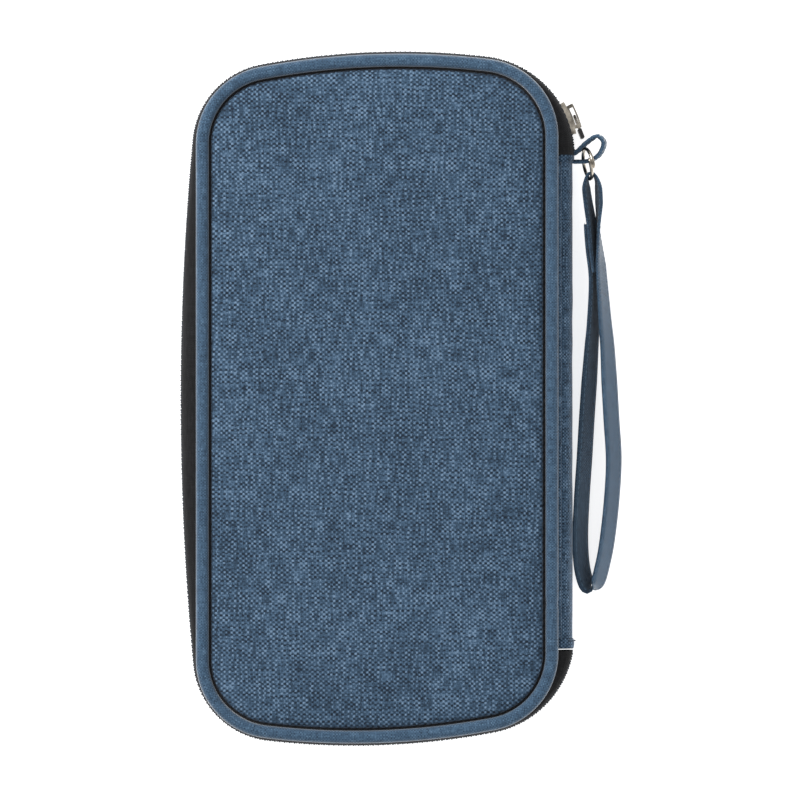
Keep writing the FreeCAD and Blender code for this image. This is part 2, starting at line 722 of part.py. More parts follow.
FRONT_LEVEL = (f"{TOTAL} - dimensions.fabric_thick - dimensions.board_thick"
               " - dimensions.lining_thick")
CARD_SLOTS = 5
for number in range(1, CARD_SLOTS + 1):
    make_box(
        f"card_slot_{number}",
        ("-dimensions.card_half_width",
         f"dimensions.card_start + {CARD_SLOTS - number} * dimensions.card_step",
         f"{FRONT_LEVEL} - {number} * dimensions.card_cloth"),
        ("2 * dimensions.card_half_width", "dimensions.card_height", "dimensions.card_cloth"),
    )

COIN_LEVEL = f"{FRONT_LEVEL} - 2 * dimensions.pocket_cloth"


def make_coin_pocket():
    """The zipped pocket: lower bag, upper strip, and the zip that joins them."""
    wide = "2 * dimensions.coin_half_width"
    left = "-dimensions.coin_half_width"
    cloth = "2 * dimensions.pocket_cloth"
    below = "dimensions.coin_zip_y - dimensions.coin_tape_half - dimensions.coin_low"
    above = "dimensions.coin_top - dimensions.coin_zip_y - dimensions.coin_tape_half"
    make_box("coin_pocket_bag", (left, "dimensions.coin_low", COIN_LEVEL), (wide, below, cloth))
    make_box("coin_pocket_strip",
             (left, "dimensions.coin_zip_y + dimensions.coin_tape_half", COIN_LEVEL),
             (wide, above, cloth))
    half = "(dimensions.coin_tape_half - dimensions.coil_gap / 2)"
    tape_level = f"{FRONT_LEVEL} - dimensions.tape_thick"
    make_box("coin_zip_tape_lower",
             (left, "dimensions.coin_zip_y - dimensions.coin_tape_half", tape_level),
             (wide, half, "dimensions.tape_thick"))
    make_box("coin_zip_tape_upper", (left, "dimensions.coin_zip_y + dimensions.coil_gap / 2", tape_level),
             (wide, half, "dimensions.tape_thick"))


CORNER_SHARE = 0.22
LUG_HEIGHT = 2.0
LUG_WIDTH = 1.8
LUG_SHARE = 0.6
LUG_WALL = 0.25
PIN_DROP = 0.8
PIN_RADIUS = 0.4
PIN_HALF = 2.1
ARM_LENGTH = 5.0
ARM_THICK = 0.7
TAB_START = 4.5
TAB_WIDTH = 5.0
TAB_THICK = 0.9
HOLE_HEIGHT = 1.1
HOLE_SHARE = 0.4


def block(middle, sides):
    """A box with the given sides round a middle point."""
    corner = middle - V(*sides) / 2
    return Part.makeBox(*sides, corner)


def make_coin_slider():
    """The small slider that hangs on the coin pocket's coil, and its puller."""
    length, width = size("coin_slider_length"), size("coin_slider_width")
    plate = size("slider_plate")
    top = FRONT_FACE - size("tape_thick") - size("slider_clear")
    x, y = size("coin_slider_x"), size("coin_zip_y")
    body = block(V(x, y, top - plate / 2), (length, width, plate))
    ends = [edge for edge in body.Edges if edge.BoundBox.ZLength > plate / 2]
    body = body.makeFillet(width * CORNER_SHARE, ends)
    under = top - plate
    lug = block(V(x, y, under - LUG_HEIGHT / 2), (length * LUG_SHARE, LUG_WIDTH, LUG_HEIGHT))
    hole_middle = V(x, y, under - LUG_WALL - HOLE_HEIGHT / 2)
    hole = block(hole_middle, (length * HOLE_SHARE, 2 * LUG_WIDTH, HOLE_HEIGHT))
    feature("coin_slider", body.fuse(lug.cut(hole)).removeSplitter())
    pivot = V(x, y, under - PIN_DROP)
    pin = Part.makeCylinder(PIN_RADIUS, 2 * PIN_HALF, pivot - V(0, PIN_HALF, 0), V(0, 1, 0))
    arms = [block(pivot + V(ARM_LENGTH / 2, side * PIN_HALF, 0), (ARM_LENGTH, ARM_THICK, ARM_THICK))
            for side in (-1, 1)]
    tab_length = size("coin_pull_length") - TAB_START
    tab = block(pivot + V(TAB_START + tab_length / 2, 0, 0), (tab_length, TAB_WIDTH, TAB_THICK))
    feature("coin_pull", pin.fuse(arms + [tab]).removeSplitter())
    return pivot


make_coin_pocket()
COIN_PIVOT = make_coin_slider()


# ---------------------------------------------------------------- checks and export

def check_and_write():
    """Recomputes, refuses anything broken, and writes one STEP file per sub-part."""
    doc.recompute()
    for item in doc.Objects:
        if "Invalid" in item.State or "Error" in item.State:
            raise RuntimeError(f"{item.Label} failed: {item.State}")
    for item in parts:
        if item.Shape.isNull() or not item.Shape.isValid():
            raise RuntimeError(f"{item.Label} has no valid shape")
    os.makedirs("parts", exist_ok=True)
    for item in parts:
        item.Shape.exportStep(f"parts/{item.Label}.step")
        box = item.Shape.BoundBox
        print(f"{item.Label:24s} solids {len(item.Shape.Solids)} volume {item.Shape.Volume:9.1f}"
              f"  x {box.XMin:7.2f} {box.XMax:7.2f}  y {box.YMin:7.2f} {box.YMax:7.2f}"
              f"  z {box.ZMin:6.2f} {box.ZMax:6.2f}")


check_and_write()
print("slider centre", near_corner(1), "ring top", ring_end(1), "ring low", ring_end(-1))
print("puller pivot", PIVOT, "coin pivot", COIN_PIVOT)
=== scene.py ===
# %% [markdown]
# # A zip-round passport holder
# This notebook dresses a ready-made frame of a travel passport holder: two padded cloth covers, a
# zipped gusset between them, a cloth spine, and a ribbon wrist strap on a wire ring. The frame
# gives every place and size in metres, so the first cell only loads it.

# %% Load the frame
import json
import math
import bmesh
import bpy
import numpy as np
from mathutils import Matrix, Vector, noise


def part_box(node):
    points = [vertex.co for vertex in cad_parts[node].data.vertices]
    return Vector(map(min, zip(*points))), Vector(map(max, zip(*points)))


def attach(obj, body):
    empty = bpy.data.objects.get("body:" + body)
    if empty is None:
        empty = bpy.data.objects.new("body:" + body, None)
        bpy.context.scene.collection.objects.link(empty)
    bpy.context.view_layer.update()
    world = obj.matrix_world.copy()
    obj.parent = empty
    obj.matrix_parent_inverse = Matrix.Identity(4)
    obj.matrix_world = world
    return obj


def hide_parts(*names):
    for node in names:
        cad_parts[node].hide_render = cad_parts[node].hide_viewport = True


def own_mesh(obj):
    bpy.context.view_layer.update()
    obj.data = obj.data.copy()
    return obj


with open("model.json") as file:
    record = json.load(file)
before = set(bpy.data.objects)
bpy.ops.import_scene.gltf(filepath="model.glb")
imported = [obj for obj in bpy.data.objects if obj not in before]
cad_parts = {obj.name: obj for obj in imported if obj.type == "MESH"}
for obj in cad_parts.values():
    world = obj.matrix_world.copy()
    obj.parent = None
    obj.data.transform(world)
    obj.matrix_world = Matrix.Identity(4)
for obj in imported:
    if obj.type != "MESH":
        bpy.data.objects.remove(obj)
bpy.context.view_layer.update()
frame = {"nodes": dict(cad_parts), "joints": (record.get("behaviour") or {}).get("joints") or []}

MM = 0.001

# %% [markdown]
# Before any cloth, a few levels are read from the frame: where each cover lies, where the zip's
# middle line is, and where the two folds of the spine are. Reading them beats typing them,
# because every piece then follows the frame if its thickness or width changes.

# %% Levels and fold lines
front_low, front_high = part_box("front_binding")
rear_low, rear_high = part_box("rear_binding")
HALF_WIDTH = 62.5 * MM
HALF_LENGTH = 119.0 * MM
END_RADIUS = 260.0 * MM
END_LEAN = 8.0 * MM
CORNER = 27.0 * MM
ZIP_LEVEL = (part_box("rear_zip_coil")[1][2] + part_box("front_zip_coil")[0][2]) / 2
JOINTS = {joint["name"]: joint for joint in frame["joints"]}
print("zip line at", round(ZIP_LEVEL / MM, 2), "mm; joints:", sorted(JOINTS))

# %% [markdown]
# The cover's outline is not a plain rounded rectangle: both ends arch gently and lean a little to
# one side, which is what a hand-guided cutting template gives. It is described as arcs, sampled
# finely, then spread into evenly spaced points, so that a weave or a row of stitches laid along
# it never bunches up at the corners.

# %% Outline helpers
def arc_points(centre, radius, start, end, step=0.6 * MM):
    """Points along an arc, anticlockwise."""
    if end < start:
        end += 2 * math.pi
    count = max(4, int((end - start) * radius / step))
    turn = np.linspace(start, end, count)
    return np.column_stack([centre[0] + radius * np.cos(turn), centre[1] + radius * np.sin(turn)])


def even_run(points, count):
    """The same line with evenly spaced points."""
    steps = np.linalg.norm(np.diff(points, axis=0), axis=1)
    travelled = np.concatenate([[0], np.cumsum(steps)])
    stations = np.linspace(0, travelled[-1], count)
    return np.column_stack([np.interp(stations, travelled, column) for column in points.T])


def heading(start, end):
    """Direction from one point to another."""
    return math.atan2(end[1] - start[1], end[0] - start[0]) % (2 * math.pi)


def end_centre(sign):
    """Centre of the arch at one end of the cover."""
    return (sign * END_LEAN, sign * (HALF_LENGTH - END_RADIUS))


def corner_centre(across, along):
    """Centre of one rounded corner, tangent to a side and an arch."""
    x = across * (HALF_WIDTH - CORNER)
    middle = end_centre(along)
    return (x, middle[1] + along * math.sqrt((END_RADIUS - CORNER) ** 2 - (x - middle[0]) ** 2))


def outline(inset, count=560):
    """Closed outline of the cover at an inset; the last point repeats the first."""
    corners = [corner_centre(1, 1), corner_centre(-1, 1), corner_centre(-1, -1), corner_centre(1, -1)]
    top, bottom = end_centre(1), end_centre(-1)
    turns = [heading(top, corners[0]), heading(top, corners[1]),
             heading(bottom, corners[2]), heading(bottom, corners[3])]
    small, big = CORNER - inset, END_RADIUS - inset
    line = np.vstack([
        [[HALF_WIDTH - inset, 0.0]],
        arc_points(corners[0], small, 0, turns[0]),
        arc_points(top, big, turns[0], turns[1]),
        arc_points(corners[1], small, turns[1], math.pi),
        arc_points(corners[2], small, math.pi, turns[2]),
        arc_points(bottom, big, turns[2], turns[3]),
        arc_points(corners[3], small, turns[3], 2 * math.pi),
        [[HALF_WIDTH - inset, 0.0]],
    ])
    return even_run(line, count)


def sideways(line, closed=False):
    """Unit vectors square to a plan line, pointing to the right of its direction."""
    if closed:
        ring = line[:-1]
        ahead = np.roll(ring, -1, axis=0) - np.roll(ring, 1, axis=0)
        ahead = np.vstack([ahead, ahead[:1]])
    else:
        ahead = np.gradient(line, axis=0)
    ahead = ahead / np.linalg.norm(ahead, axis=1)[:, None]
    return np.column_stack([ahead[:, 1], -ahead[:, 0]])


print("outline length, mm:", round(float(np.linalg.norm(np.diff(outline(0), axis=0), axis=1).sum()) / MM, 1))

# %% [markdown]
# ## Strips of cloth
# Nearly every piece here is a strip: cloth rolled round an edge, tape, ribbon. So one helper
# lofts a mesh through rows of points. It also stores on each point how far along and across the
# cloth it lies, in an attribute called `cloth`. The weave reads that attribute, so threads follow
# the fabric round bends instead of sliding.

# %% Mesh helpers
def add_piece(name, points, faces, cloth=None):
    """A smooth-shaded mesh object with an optional cloth coordinate on each point."""
    mesh = bpy.data.meshes.new(name)
    mesh.from_pydata([tuple(p) for p in points], [], faces)
    mesh.validate()
    if cloth is not None:
        layer = mesh.attributes.new("cloth", "FLOAT_VECTOR", "POINT")
        flat = np.zeros((len(points), 3), np.float32)
        flat[:, :2] = cloth
        layer.data.foreach_set("vector", flat.ravel())
    mesh.shade_smooth()
    piece = bpy.data.objects.new(name, mesh)
    bpy.context.collection.objects.link(piece)
    return piece


def grid_faces(rows, columns, wrap=False, flip=False):
    """Quads between rows of points; wrap joins each row's last point to its first."""
    faces = []
    for i in range(rows - 1):
        for j in range(columns if wrap else columns - 1):
            k = (j + 1) % columns
            quad = (i * columns + j, i * columns + k, (i + 1) * columns + k, (i + 1) * columns + j)
            faces.append(quad[::-1] if flip else quad)
    return faces


def loft(name, rows, wrap=False, flip=False, caps=False):
    """A strip through rows of 3D points, with its cloth coordinates measured in metres."""
    rows = np.asarray(rows, float)
    count, columns, _ = rows.shape
    middle = rows[:, columns // 2]
    along = np.concatenate([[0], np.cumsum(np.linalg.norm(np.diff(middle, axis=0), axis=1))])
    widths = np.linalg.norm(np.diff(rows, axis=1), axis=2)
    across = np.concatenate([np.zeros((count, 1)), np.cumsum(widths, axis=1)], axis=1).mean(axis=0)
    cloth = np.column_stack([np.tile(across, count), np.repeat(along, columns)])
    faces = grid_faces(count, columns, wrap, flip)
    if caps:
        last = (count - 1) * columns
        faces.append(tuple(range(columns)))
        faces.append(tuple(last + j for j in reversed(range(columns))))
    return add_piece(name, rows.reshape(-1, 3), faces, cloth)


print("a grid of 3 by 4 points has", len(grid_faces(3, 4)), "quads")


def recalc(piece):
    """Turns all faces outward."""
    work = bmesh.new()
    work.from_mesh(piece.data)
    bmesh.ops.recalc_face_normals(work, faces=work.faces)
    work.to_mesh(piece.data)
    work.free()
    return piece


def finish(piece, material, body, slot, *nodes):
    """Gives a piece its finish and body, and hides the frame nodes that it stands for."""
    piece.data.materials.append(material)
    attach(piece, body)
    if nodes:
        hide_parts(*nodes)
    return piece


# %% [markdown]
# ## Materials
# Heathered polyester is a plain weave of two-tone yarns: each yarn shifts between dark and light
# along its own length. A flat noise would look like paint. Here the warp and the weft each get a
# noise that is stretched along their own direction, and the over-and-under pattern of the weave
# picks which of the two shows at each crossing.

# %% Shader helpers
WEFT_SHARE = 0.86
DRIFT_GRAIN = 14 * MM
BROAD_WIDE, BROAD_LONG = 20 * MM, 30 * MM
BROAD_STRENGTH = 0.18
YARN_SHARE = 0.45
print("weft threads are", WEFT_SHARE, "as wide as warp threads")


class Paint:
    """A material under construction, with short calls for its nodes."""

    def __init__(self, name, roughness, metallic=0.0):
        self.material = bpy.data.materials.new(name)
        self.material.use_nodes = True
        self.tree = self.material.node_tree
        self.shader = self.tree.nodes["Principled BSDF"]
        self.shader.inputs["Roughness"].default_value = roughness
        self.shader.inputs["Metallic"].default_value = metallic

    def node(self, kind, **settings):
        made = self.tree.nodes.new(kind)
        for key, value in settings.items():
            setattr(made, key, value)
        return made

    def put(self, socket, value):
        if isinstance(value, bpy.types.NodeSocket):
            self.tree.links.new(value, socket)
        else:
            socket.default_value = value

    def maths(self, operation, a, b=0.0, c=0.0):
        made = self.node("ShaderNodeMath", operation=operation)
        for socket, value in zip(made.inputs, (a, b, c)):
            self.put(socket, value)
        return made.outputs[0]

    def cloth(self):
        """Across and along, in metres, from the mesh's own cloth coordinates."""
        source = self.node("ShaderNodeAttribute", attribute_name="cloth")
        split = self.node("ShaderNodeSeparateXYZ")
        self.put(split.inputs[0], source.outputs["Vector"])
        return split.outputs[0], split.outputs[1]

    def noise(self, across, along, wide, long, detail=2.0, seed=0.0):
        """Soft noise whose grains are wide by long, in metres."""
        join = self.node("ShaderNodeCombineXYZ")
        self.put(join.inputs[0], self.maths("DIVIDE", across, wide))
        self.put(join.inputs[1], self.maths("DIVIDE", along, long))
        self.put(join.inputs[2], seed)
        made = self.node("ShaderNodeTexNoise")
        made.inputs["Scale"].default_value = 1.0
        made.inputs["Detail"].default_value = detail
        self.put(made.inputs["Vector"], join.outputs[0])
        return made.outputs[0]

    def ramp(self, value, stops):
        made = self.node("ShaderNodeValToRGB")
        self.put(made.inputs[0], value)
        elements = made.color_ramp.elements
        while len(elements) < len(stops):
            elements.new(0.5)
        for element, (place, colour) in zip(elements, stops):
            element.position = place
            element.color = (*colour, 1)
        return made.outputs[0]

    def wave(self, distance, pitch):
        """A sine from -1 to 1 with the given pitch, in metres."""
        return self.maths("SINE", self.maths("MULTIPLY", distance, 2 * math.pi / pitch))

    def bump(self, height, depth, strength=1.0):
        made = self.node("ShaderNodeBump")
        made.inputs["Strength"].default_value = strength
        made.inputs["Distance"].default_value = depth
        self.put(made.inputs["Height"], height)
        self.put(self.shader.inputs["Normal"], made.outputs[0])


def woven(name, pitch, stops, slub, hollow_shade, depth, sheen=0.25, roughness=0.85):
    """Plain-woven cloth: over-and-under pitch, colours, slub length, painted shade in hollows, relief."""
    paint = Paint(name, roughness)
    across, along = paint.cloth()
    drift = paint.noise(across, along, DRIFT_GRAIN, DRIFT_GRAIN, 2.0, 7.0)
    wander = paint.maths("MULTIPLY", paint.maths("SUBTRACT", drift, 0.5), pitch * 0.9)
    warp = paint.wave(paint.maths("ADD", across, wander), pitch)
    weft = paint.wave(paint.maths("ADD", along, wander), pitch * WEFT_SHARE)
    crossing = paint.maths("MULTIPLY", warp, weft)
    over = paint.maths("MULTIPLY_ADD", crossing, 1.6, 0.5)
    over = paint.maths("MINIMUM", paint.maths("MAXIMUM", over, 0.0), 1.0)
    warp_tone = paint.noise(across, along, pitch * YARN_SHARE, slub, 2.5, 1.0)
    weft_tone = paint.noise(across, along, slub, pitch * YARN_SHARE, 2.5, 4.0)
    tone = paint.maths("ADD", paint.maths("MULTIPLY", warp_tone, over),
                       paint.maths("MULTIPLY", weft_tone, paint.maths("SUBTRACT", 1.0, over)))
    broad = paint.noise(across, along, BROAD_WIDE, BROAD_LONG, 3.0, 11.0)
    streaks = paint.maths("MULTIPLY_ADD", broad, BROAD_STRENGTH, -BROAD_STRENGTH / 2)
    tone = paint.maths("ADD", tone, streaks)
    # Darker where the weave's relief is low: painted shade in the hollows between threads.
    tone = paint.maths("ADD", tone, paint.maths("MULTIPLY", crossing, hollow_shade))
    paint.put(paint.shader.inputs["Base Color"], paint.ramp(tone, stops))
    paint.shader.inputs["Sheen Weight"].default_value = sheen
    paint.shader.inputs["Sheen Roughness"].default_value = 0.4
    paint.shader.inputs["Specular IOR Level"].default_value = 0.25
    paint.bump(paint.maths("ADD", crossing, tone), depth, 0.7)
    return paint.material


# %% [markdown]
# The cloths of the holder differ only in the size of their threads and in the shades of their
# yarns, so one recipe serves for all. A picture of cloth would show its own edges when repeated;
# threads worked out from the mesh never do. The covers get the coarsest weave, the spine a
# tighter one, the binding and the ribbon a fine one. The ribbon's inner face gets a darker copy
# of the ribbon's colours, as painted shade.

# %% Cloths
HEATHER = ((0.30, (0.008, 0.016, 0.030)), (0.43, (0.026, 0.052, 0.088)),
           (0.56, (0.054, 0.104, 0.172)), (0.74, (0.165, 0.255, 0.370)))
BINDING = ((0.30, (0.018, 0.036, 0.062)), (0.44, (0.036, 0.074, 0.126)),
           (0.57, (0.054, 0.108, 0.178)), (0.74, (0.110, 0.190, 0.285)))
# Darker copy of the ribbon's colours: painted shade for the ribbon's inner face.
SHADED_FACE = ((0.30, (0.012, 0.024, 0.040)), (0.44, (0.026, 0.050, 0.082)),
          (0.57, (0.038, 0.072, 0.116)), (0.74, (0.080, 0.130, 0.195)))
NAVY = ((0.30, (0.012, 0.016, 0.024)), (0.50, (0.022, 0.030, 0.044)), (0.70, (0.040, 0.052, 0.070)))
BLACK = ((0.30, (0.006, 0.006, 0.007)), (0.50, (0.012, 0.012, 0.013)), (0.70, (0.024, 0.024, 0.026)))
GREY = ((0.30, (0.10, 0.11, 0.12)), (0.50, (0.16, 0.17, 0.18)), (0.70, (0.24, 0.25, 0.26)))

heather_cloth = woven("heather_cloth", 1.9 * MM, HEATHER, slub=6 * MM, hollow_shade=0.16, depth=0.14 * MM)
binding_cloth = woven("binding_cloth", 1.2 * MM, BINDING,
                      slub=3 * MM, hollow_shade=0.09, depth=0.07 * MM, sheen=0.7)
ribbon_shaded_face = woven("ribbon_shaded_face", 1.2 * MM, SHADED_FACE, slub=3 * MM, hollow_shade=0.09, depth=0.07 * MM)
spine_cloth = woven("spine_cloth", 1.4 * MM, HEATHER, slub=4 * MM, hollow_shade=0.11, depth=0.09 * MM)
lining_cloth = woven("lining_cloth", 0.5 * MM, GREY, slub=5 * MM, hollow_shade=0.08, depth=0.05 * MM)
pocket_cloth = woven("pocket_cloth", 0.6 * MM, NAVY, slub=5 * MM, hollow_shade=0.08, depth=0.06 * MM)
zip_tape_cloth = woven("zip_tape_cloth", 0.8 * MM, BLACK,
                       slub=4 * MM, hollow_shade=0.1, depth=0.08 * MM, sheen=0.05)
elastic_cloth = woven("elastic_cloth", 1.2 * MM, BLACK, slub=3 * MM, hollow_shade=0.12, depth=0.2 * MM)
print("cloths:", sorted(material.name for material in bpy.data.materials))

# %% [markdown]
# Metal, nylon, rubber, foam and thread have no weave. Each gets one colour that a fine noise
# varies, and the same noise moves the gloss a little, because handled metal is never evenly
# bright. Plated metal mirrors its surroundings, so its colour is given a far wider spread than
# the others, as painted reflection.

# %% Hard parts and threads
def plain(name, colour, roughness, metallic=0.0, grain=0.0, grain_size=1 * MM, spread=(0.78, 1.15)):
    """A moulded, plated or spun material, mottled, with some wear in its gloss."""
    paint = Paint(name, roughness, metallic)
    place = paint.node("ShaderNodeTexCoord").outputs["Object"]
    speck = paint.node("ShaderNodeTexNoise")
    speck.inputs["Scale"].default_value = 1 / grain_size
    speck.inputs["Detail"].default_value = 4.0
    paint.put(speck.inputs["Vector"], place)
    dark = tuple(c * spread[0] for c in colour)
    bright = tuple(min(1.0, c * spread[1]) for c in colour)
    paint.put(paint.shader.inputs["Base Color"],
              paint.ramp(speck.outputs[0], ((0.35, dark), (0.65, bright))))
    paint.put(paint.shader.inputs["Roughness"],
              paint.maths("MULTIPLY_ADD", speck.outputs[0], 0.18, roughness - 0.09))
    if grain:
        paint.bump(speck.outputs[0], grain, 0.5)
    return paint.material


# The nickel's wide spread of colour is painted reflection.
nickel = plain("nickel_plate", (0.44, 0.40, 0.34), roughness=0.2, metallic=1.0,
               grain=0.02 * MM, grain_size=3 * MM, spread=(0.3, 1.7))
coil_nylon = plain("coil_nylon", (0.020, 0.021, 0.022), 0.38, grain=0.01 * MM, grain_size=1 * MM)
puller_rubber = plain("puller_rubber", (0.014, 0.014, 0.015), 0.5, grain=0.03 * MM, grain_size=0.5 * MM)
foam = plain("foam_board", (0.55, 0.55, 0.50), 0.9, grain=0.1 * MM, grain_size=0.8 * MM)
navy_thread = plain("navy_thread", (0.016, 0.028, 0.046), 0.8, grain=0.04 * MM, grain_size=0.3 * MM)
blue_thread = plain("blue_thread", (0.10, 0.17, 0.25), 0.8, grain=0.04 * MM, grain_size=0.3 * MM)
print("materials in all:", len(bpy.data.materials))

# %% [markdown]
# ## The padded covers
# Each cover is a foam board wrapped in cloth. It swells a little in the middle and dives into the
# groove beside the binding. A plane with a displace modifier would need a mask for that edge, so
# the panel is built as rings that shrink from the groove to the middle line, with a height worked
# out from the distance to the edge.

# %% Cover panels
RING_INSETS = [5.0, 5.3, 5.7, 6.3, 7.1, 8.3, 9.9, 12.3, 15.3]
RING_STEPS = [0.12, 0.26, 0.42, 0.58, 0.74, 0.88, 0.97]
SPINE_LINE = 60.0 * MM
PANEL_POINTS = 400
SHOULDER_REACH = 0.9 * MM
CROWN_REACH = 16 * MM
RIPPLE_FADE = 5 * MM


def panel_rings():
    """Closed rings from the groove inwards, each with its distance from the groove."""
    rings = [(outline(inset * MM, PANEL_POINTS)[:-1], (inset - RING_INSETS[0]) * MM)
             for inset in RING_INSETS]
    start, depth = rings[-1]
    target = np.column_stack([np.zeros(len(start)), np.clip(start[:, 1], -SPINE_LINE, SPINE_LINE)])
    reach = float(np.linalg.norm(start - target, axis=1).mean())
    for share in RING_STEPS:
        rings.append((start * (1 - share) + target * share, depth + share * reach))
    return rings


def swell(depth, edge, crown):
    """Height above the groove at a distance from it: a quick shoulder, then a slow crown."""
    shoulder = edge * (1 - math.exp(-depth / SHOULDER_REACH))
    return shoulder + crown * (1 - math.exp(-depth / CROWN_REACH))


def ripple_at(x, y):
    """A slow ripple with a finer one on top, between about -1 and 1."""
    slow = noise.noise(Vector((x * 38, y * 26, 3.0)))
    fine = noise.noise(Vector((x * 95, y * 80, 8.0)))
    return slow + 0.4 * fine


def cover_panel(name, level, direction, edge, crown, ripple):
    """One crowned panel; direction is 1 for the front and -1 for the rear."""
    points, cloth = [], []
    rings = panel_rings()
    for ring, depth in rings:
        for x, y in ring:
            lift = swell(depth, edge, crown)
            lift += ripple * ripple_at(x, y) * min(1.0, depth / RIPPLE_FADE)
            points.append((x, y, level + direction * lift))
            cloth.append((x, y))
    count = len(rings[0][0])
    faces = grid_faces(len(rings), count, wrap=True, flip=direction < 0)
    last = (len(rings) - 1) * count
    cap = tuple(last + j for j in range(count))
    faces.append(cap if direction > 0 else cap[::-1])
    print(name, "points", len(points))
    return add_piece(name, points, faces, cloth)


FRONT_GROOVE = front_high[2] - 2.6 * MM
front_panel = cover_panel("front_padded_panel", FRONT_GROOVE, 1, 2.0 * MM, 1.9 * MM, 0.16 * MM)
finish(front_panel, heather_cloth, "front_half", "heather_cloth", "front_outer_fabric")
REAR_GROOVE = 2.3 * MM
rear_panel = cover_panel("rear_padded_panel", REAR_GROOVE, -1, 2.2 * MM, 0.0, 0.0)
finish(rear_panel, heather_cloth, "rear_half", "heather_cloth", "rear_outer_fabric")

# %% [markdown]
# ## The binding
# A strip of the same yarn in a finer weave is rolled round the raw edge of each cover and sewn
# down. It is a soft oval tube that follows the outline. A curve with a bevel would make it in one
# step, but a lofted tube lets the cloth coordinate run along the strip, lets the roll breathe by
# a few hundredths of a millimetre, and lets the strip's two ends overlap at a small join.

# %% Rolled bindings
BINDING_SIDES = 20
BINDING_WIDTH = 4.5 * MM
BINDING_POINTS = 900
LAP_STEPS = 3
JOIN_Y = -70.6 * MM


def binding_profile(width, height, squareness=2.5):
    """Oval section of the roll, as (out, up) pairs round its middle."""
    turn = np.linspace(0, 2 * math.pi, BINDING_SIDES + 1)
    power = 2 / squareness
    out = np.sign(np.cos(turn)) * np.abs(np.cos(turn)) ** power * width / 2
    up = np.sign(np.sin(turn)) * np.abs(np.sin(turn)) ** power * height / 2
    return np.column_stack([out, up])


def roll_binding(name, low, high, node, body):
    """The closed roll round one cover, with its ends lapped on the spine's side."""
    line = outline(BINDING_WIDTH / 2 - 0.1 * MM, BINDING_POINTS)
    shift = int(np.argmin(np.abs(line[:, 1] - JOIN_Y) + (line[:, 0] < 0)))
    line = np.vstack([line[shift:-1], line[:shift + 1]])
    away = sideways(line, closed=True)
    profile = binding_profile(BINDING_WIDTH, high - low)
    level = (low + high) / 2
    rows = []
    last = len(line) - 1
    for index, (point, out) in enumerate(zip(line, away)):
        breath = 1 + 0.014 * noise.noise(Vector((point[0] * 110, point[1] * 110, level * 900)))
        ends = min(index, last - index)
        if ends < LAP_STEPS:
            breath *= 0.93 + 0.02 * ends
        rows.append([(point[0] + out[0] * a * breath, point[1] + out[1] * a * breath,
                      level + b * breath) for a, b in profile])
    roll = recalc(loft(name, rows))
    finish(roll, binding_cloth, body, "binding_cloth", node)
    print(name, "rows", len(rows), "height, mm:", round((high - low) / MM, 2))


roll_binding("front_rolled_binding", front_low[2], front_high[2] + 0.2 * MM, "front_binding", "front_half")
roll_binding("rear_rolled_binding", rear_low[2], rear_high[2], "rear_binding", "rear_half")

# %% [markdown]
# At the bottom of the groove a flat black band lies between the roll and the panel, as painted
# shade: it stands in for the groove's shade. It follows the outline, tucked under both of its
# neighbours.

# %% Black bands as painted shade in the grooves
SHADE_BAND_INNER, SHADE_BAND_OUTER = 5.6 * MM, 3.2 * MM
SHADE_BAND_LIFT = 0.55 * MM


def groove_shade_band(name, level, body):
    """A flat black band along the bottom of one groove, as painted shade."""
    inner, outer = outline(SHADE_BAND_INNER, 500), outline(SHADE_BAND_OUTER, 500)
    rows = [[(a[0], a[1], level), (b[0], b[1], level)] for a, b in zip(inner, outer)]
    band = loft(name, rows)
    thick = band.modifiers.new("tape thickness", "SOLIDIFY")
    thick.thickness = 0.3 * MM
    finish(band, zip_tape_cloth, body, "zip_tape")
    print(name, "width, mm:", round((SHADE_BAND_INNER - SHADE_BAND_OUTER) / MM, 1))


groove_shade_band("front_groove_shade_band", FRONT_GROOVE + SHADE_BAND_LIFT, "front_half")
groove_shade_band("rear_groove_shade_band", REAR_GROOVE - SHADE_BAND_LIFT, "rear_half")

# %% [markdown]
# Stitches are what holds it all, and they are cheap to model: one stitch is a short spindle of
# thread. The helper below drops spindles along any line in space and joins them into one mesh.
# Instancing a collection would save memory, but a plain mesh exports everywhere.

# %% Stitch helper
STITCH_SIDES = 6
STITCH_SHAPE = ((-0.5, 0.35), (-0.25, 0.95), (0.25, 0.95), (0.5, 0.35))
STITCH_PITCH, STITCH_LENGTH = 2.6 * MM, 1.9 * MM
STITCH_INSET = 5.35 * MM


def even_space(line, pitch):
    """Pairs of point and direction at even steps along a 3D line."""
    line = np.asarray(line, float)
    steps = np.linalg.norm(np.diff(line, axis=0), axis=1)
    travelled = np.concatenate([[0], np.cumsum(steps)])
    stations = np.arange(pitch / 2, travelled[-1], pitch)
    reach = pitch * 0.2

    def place(distances):
        return np.column_stack([np.interp(distances, travelled, column) for column in line.T])

    points = place(stations)
    ahead = place(stations + reach) - place(stations - reach)
    return points, ahead / np.linalg.norm(ahead, axis=1)[:, None]


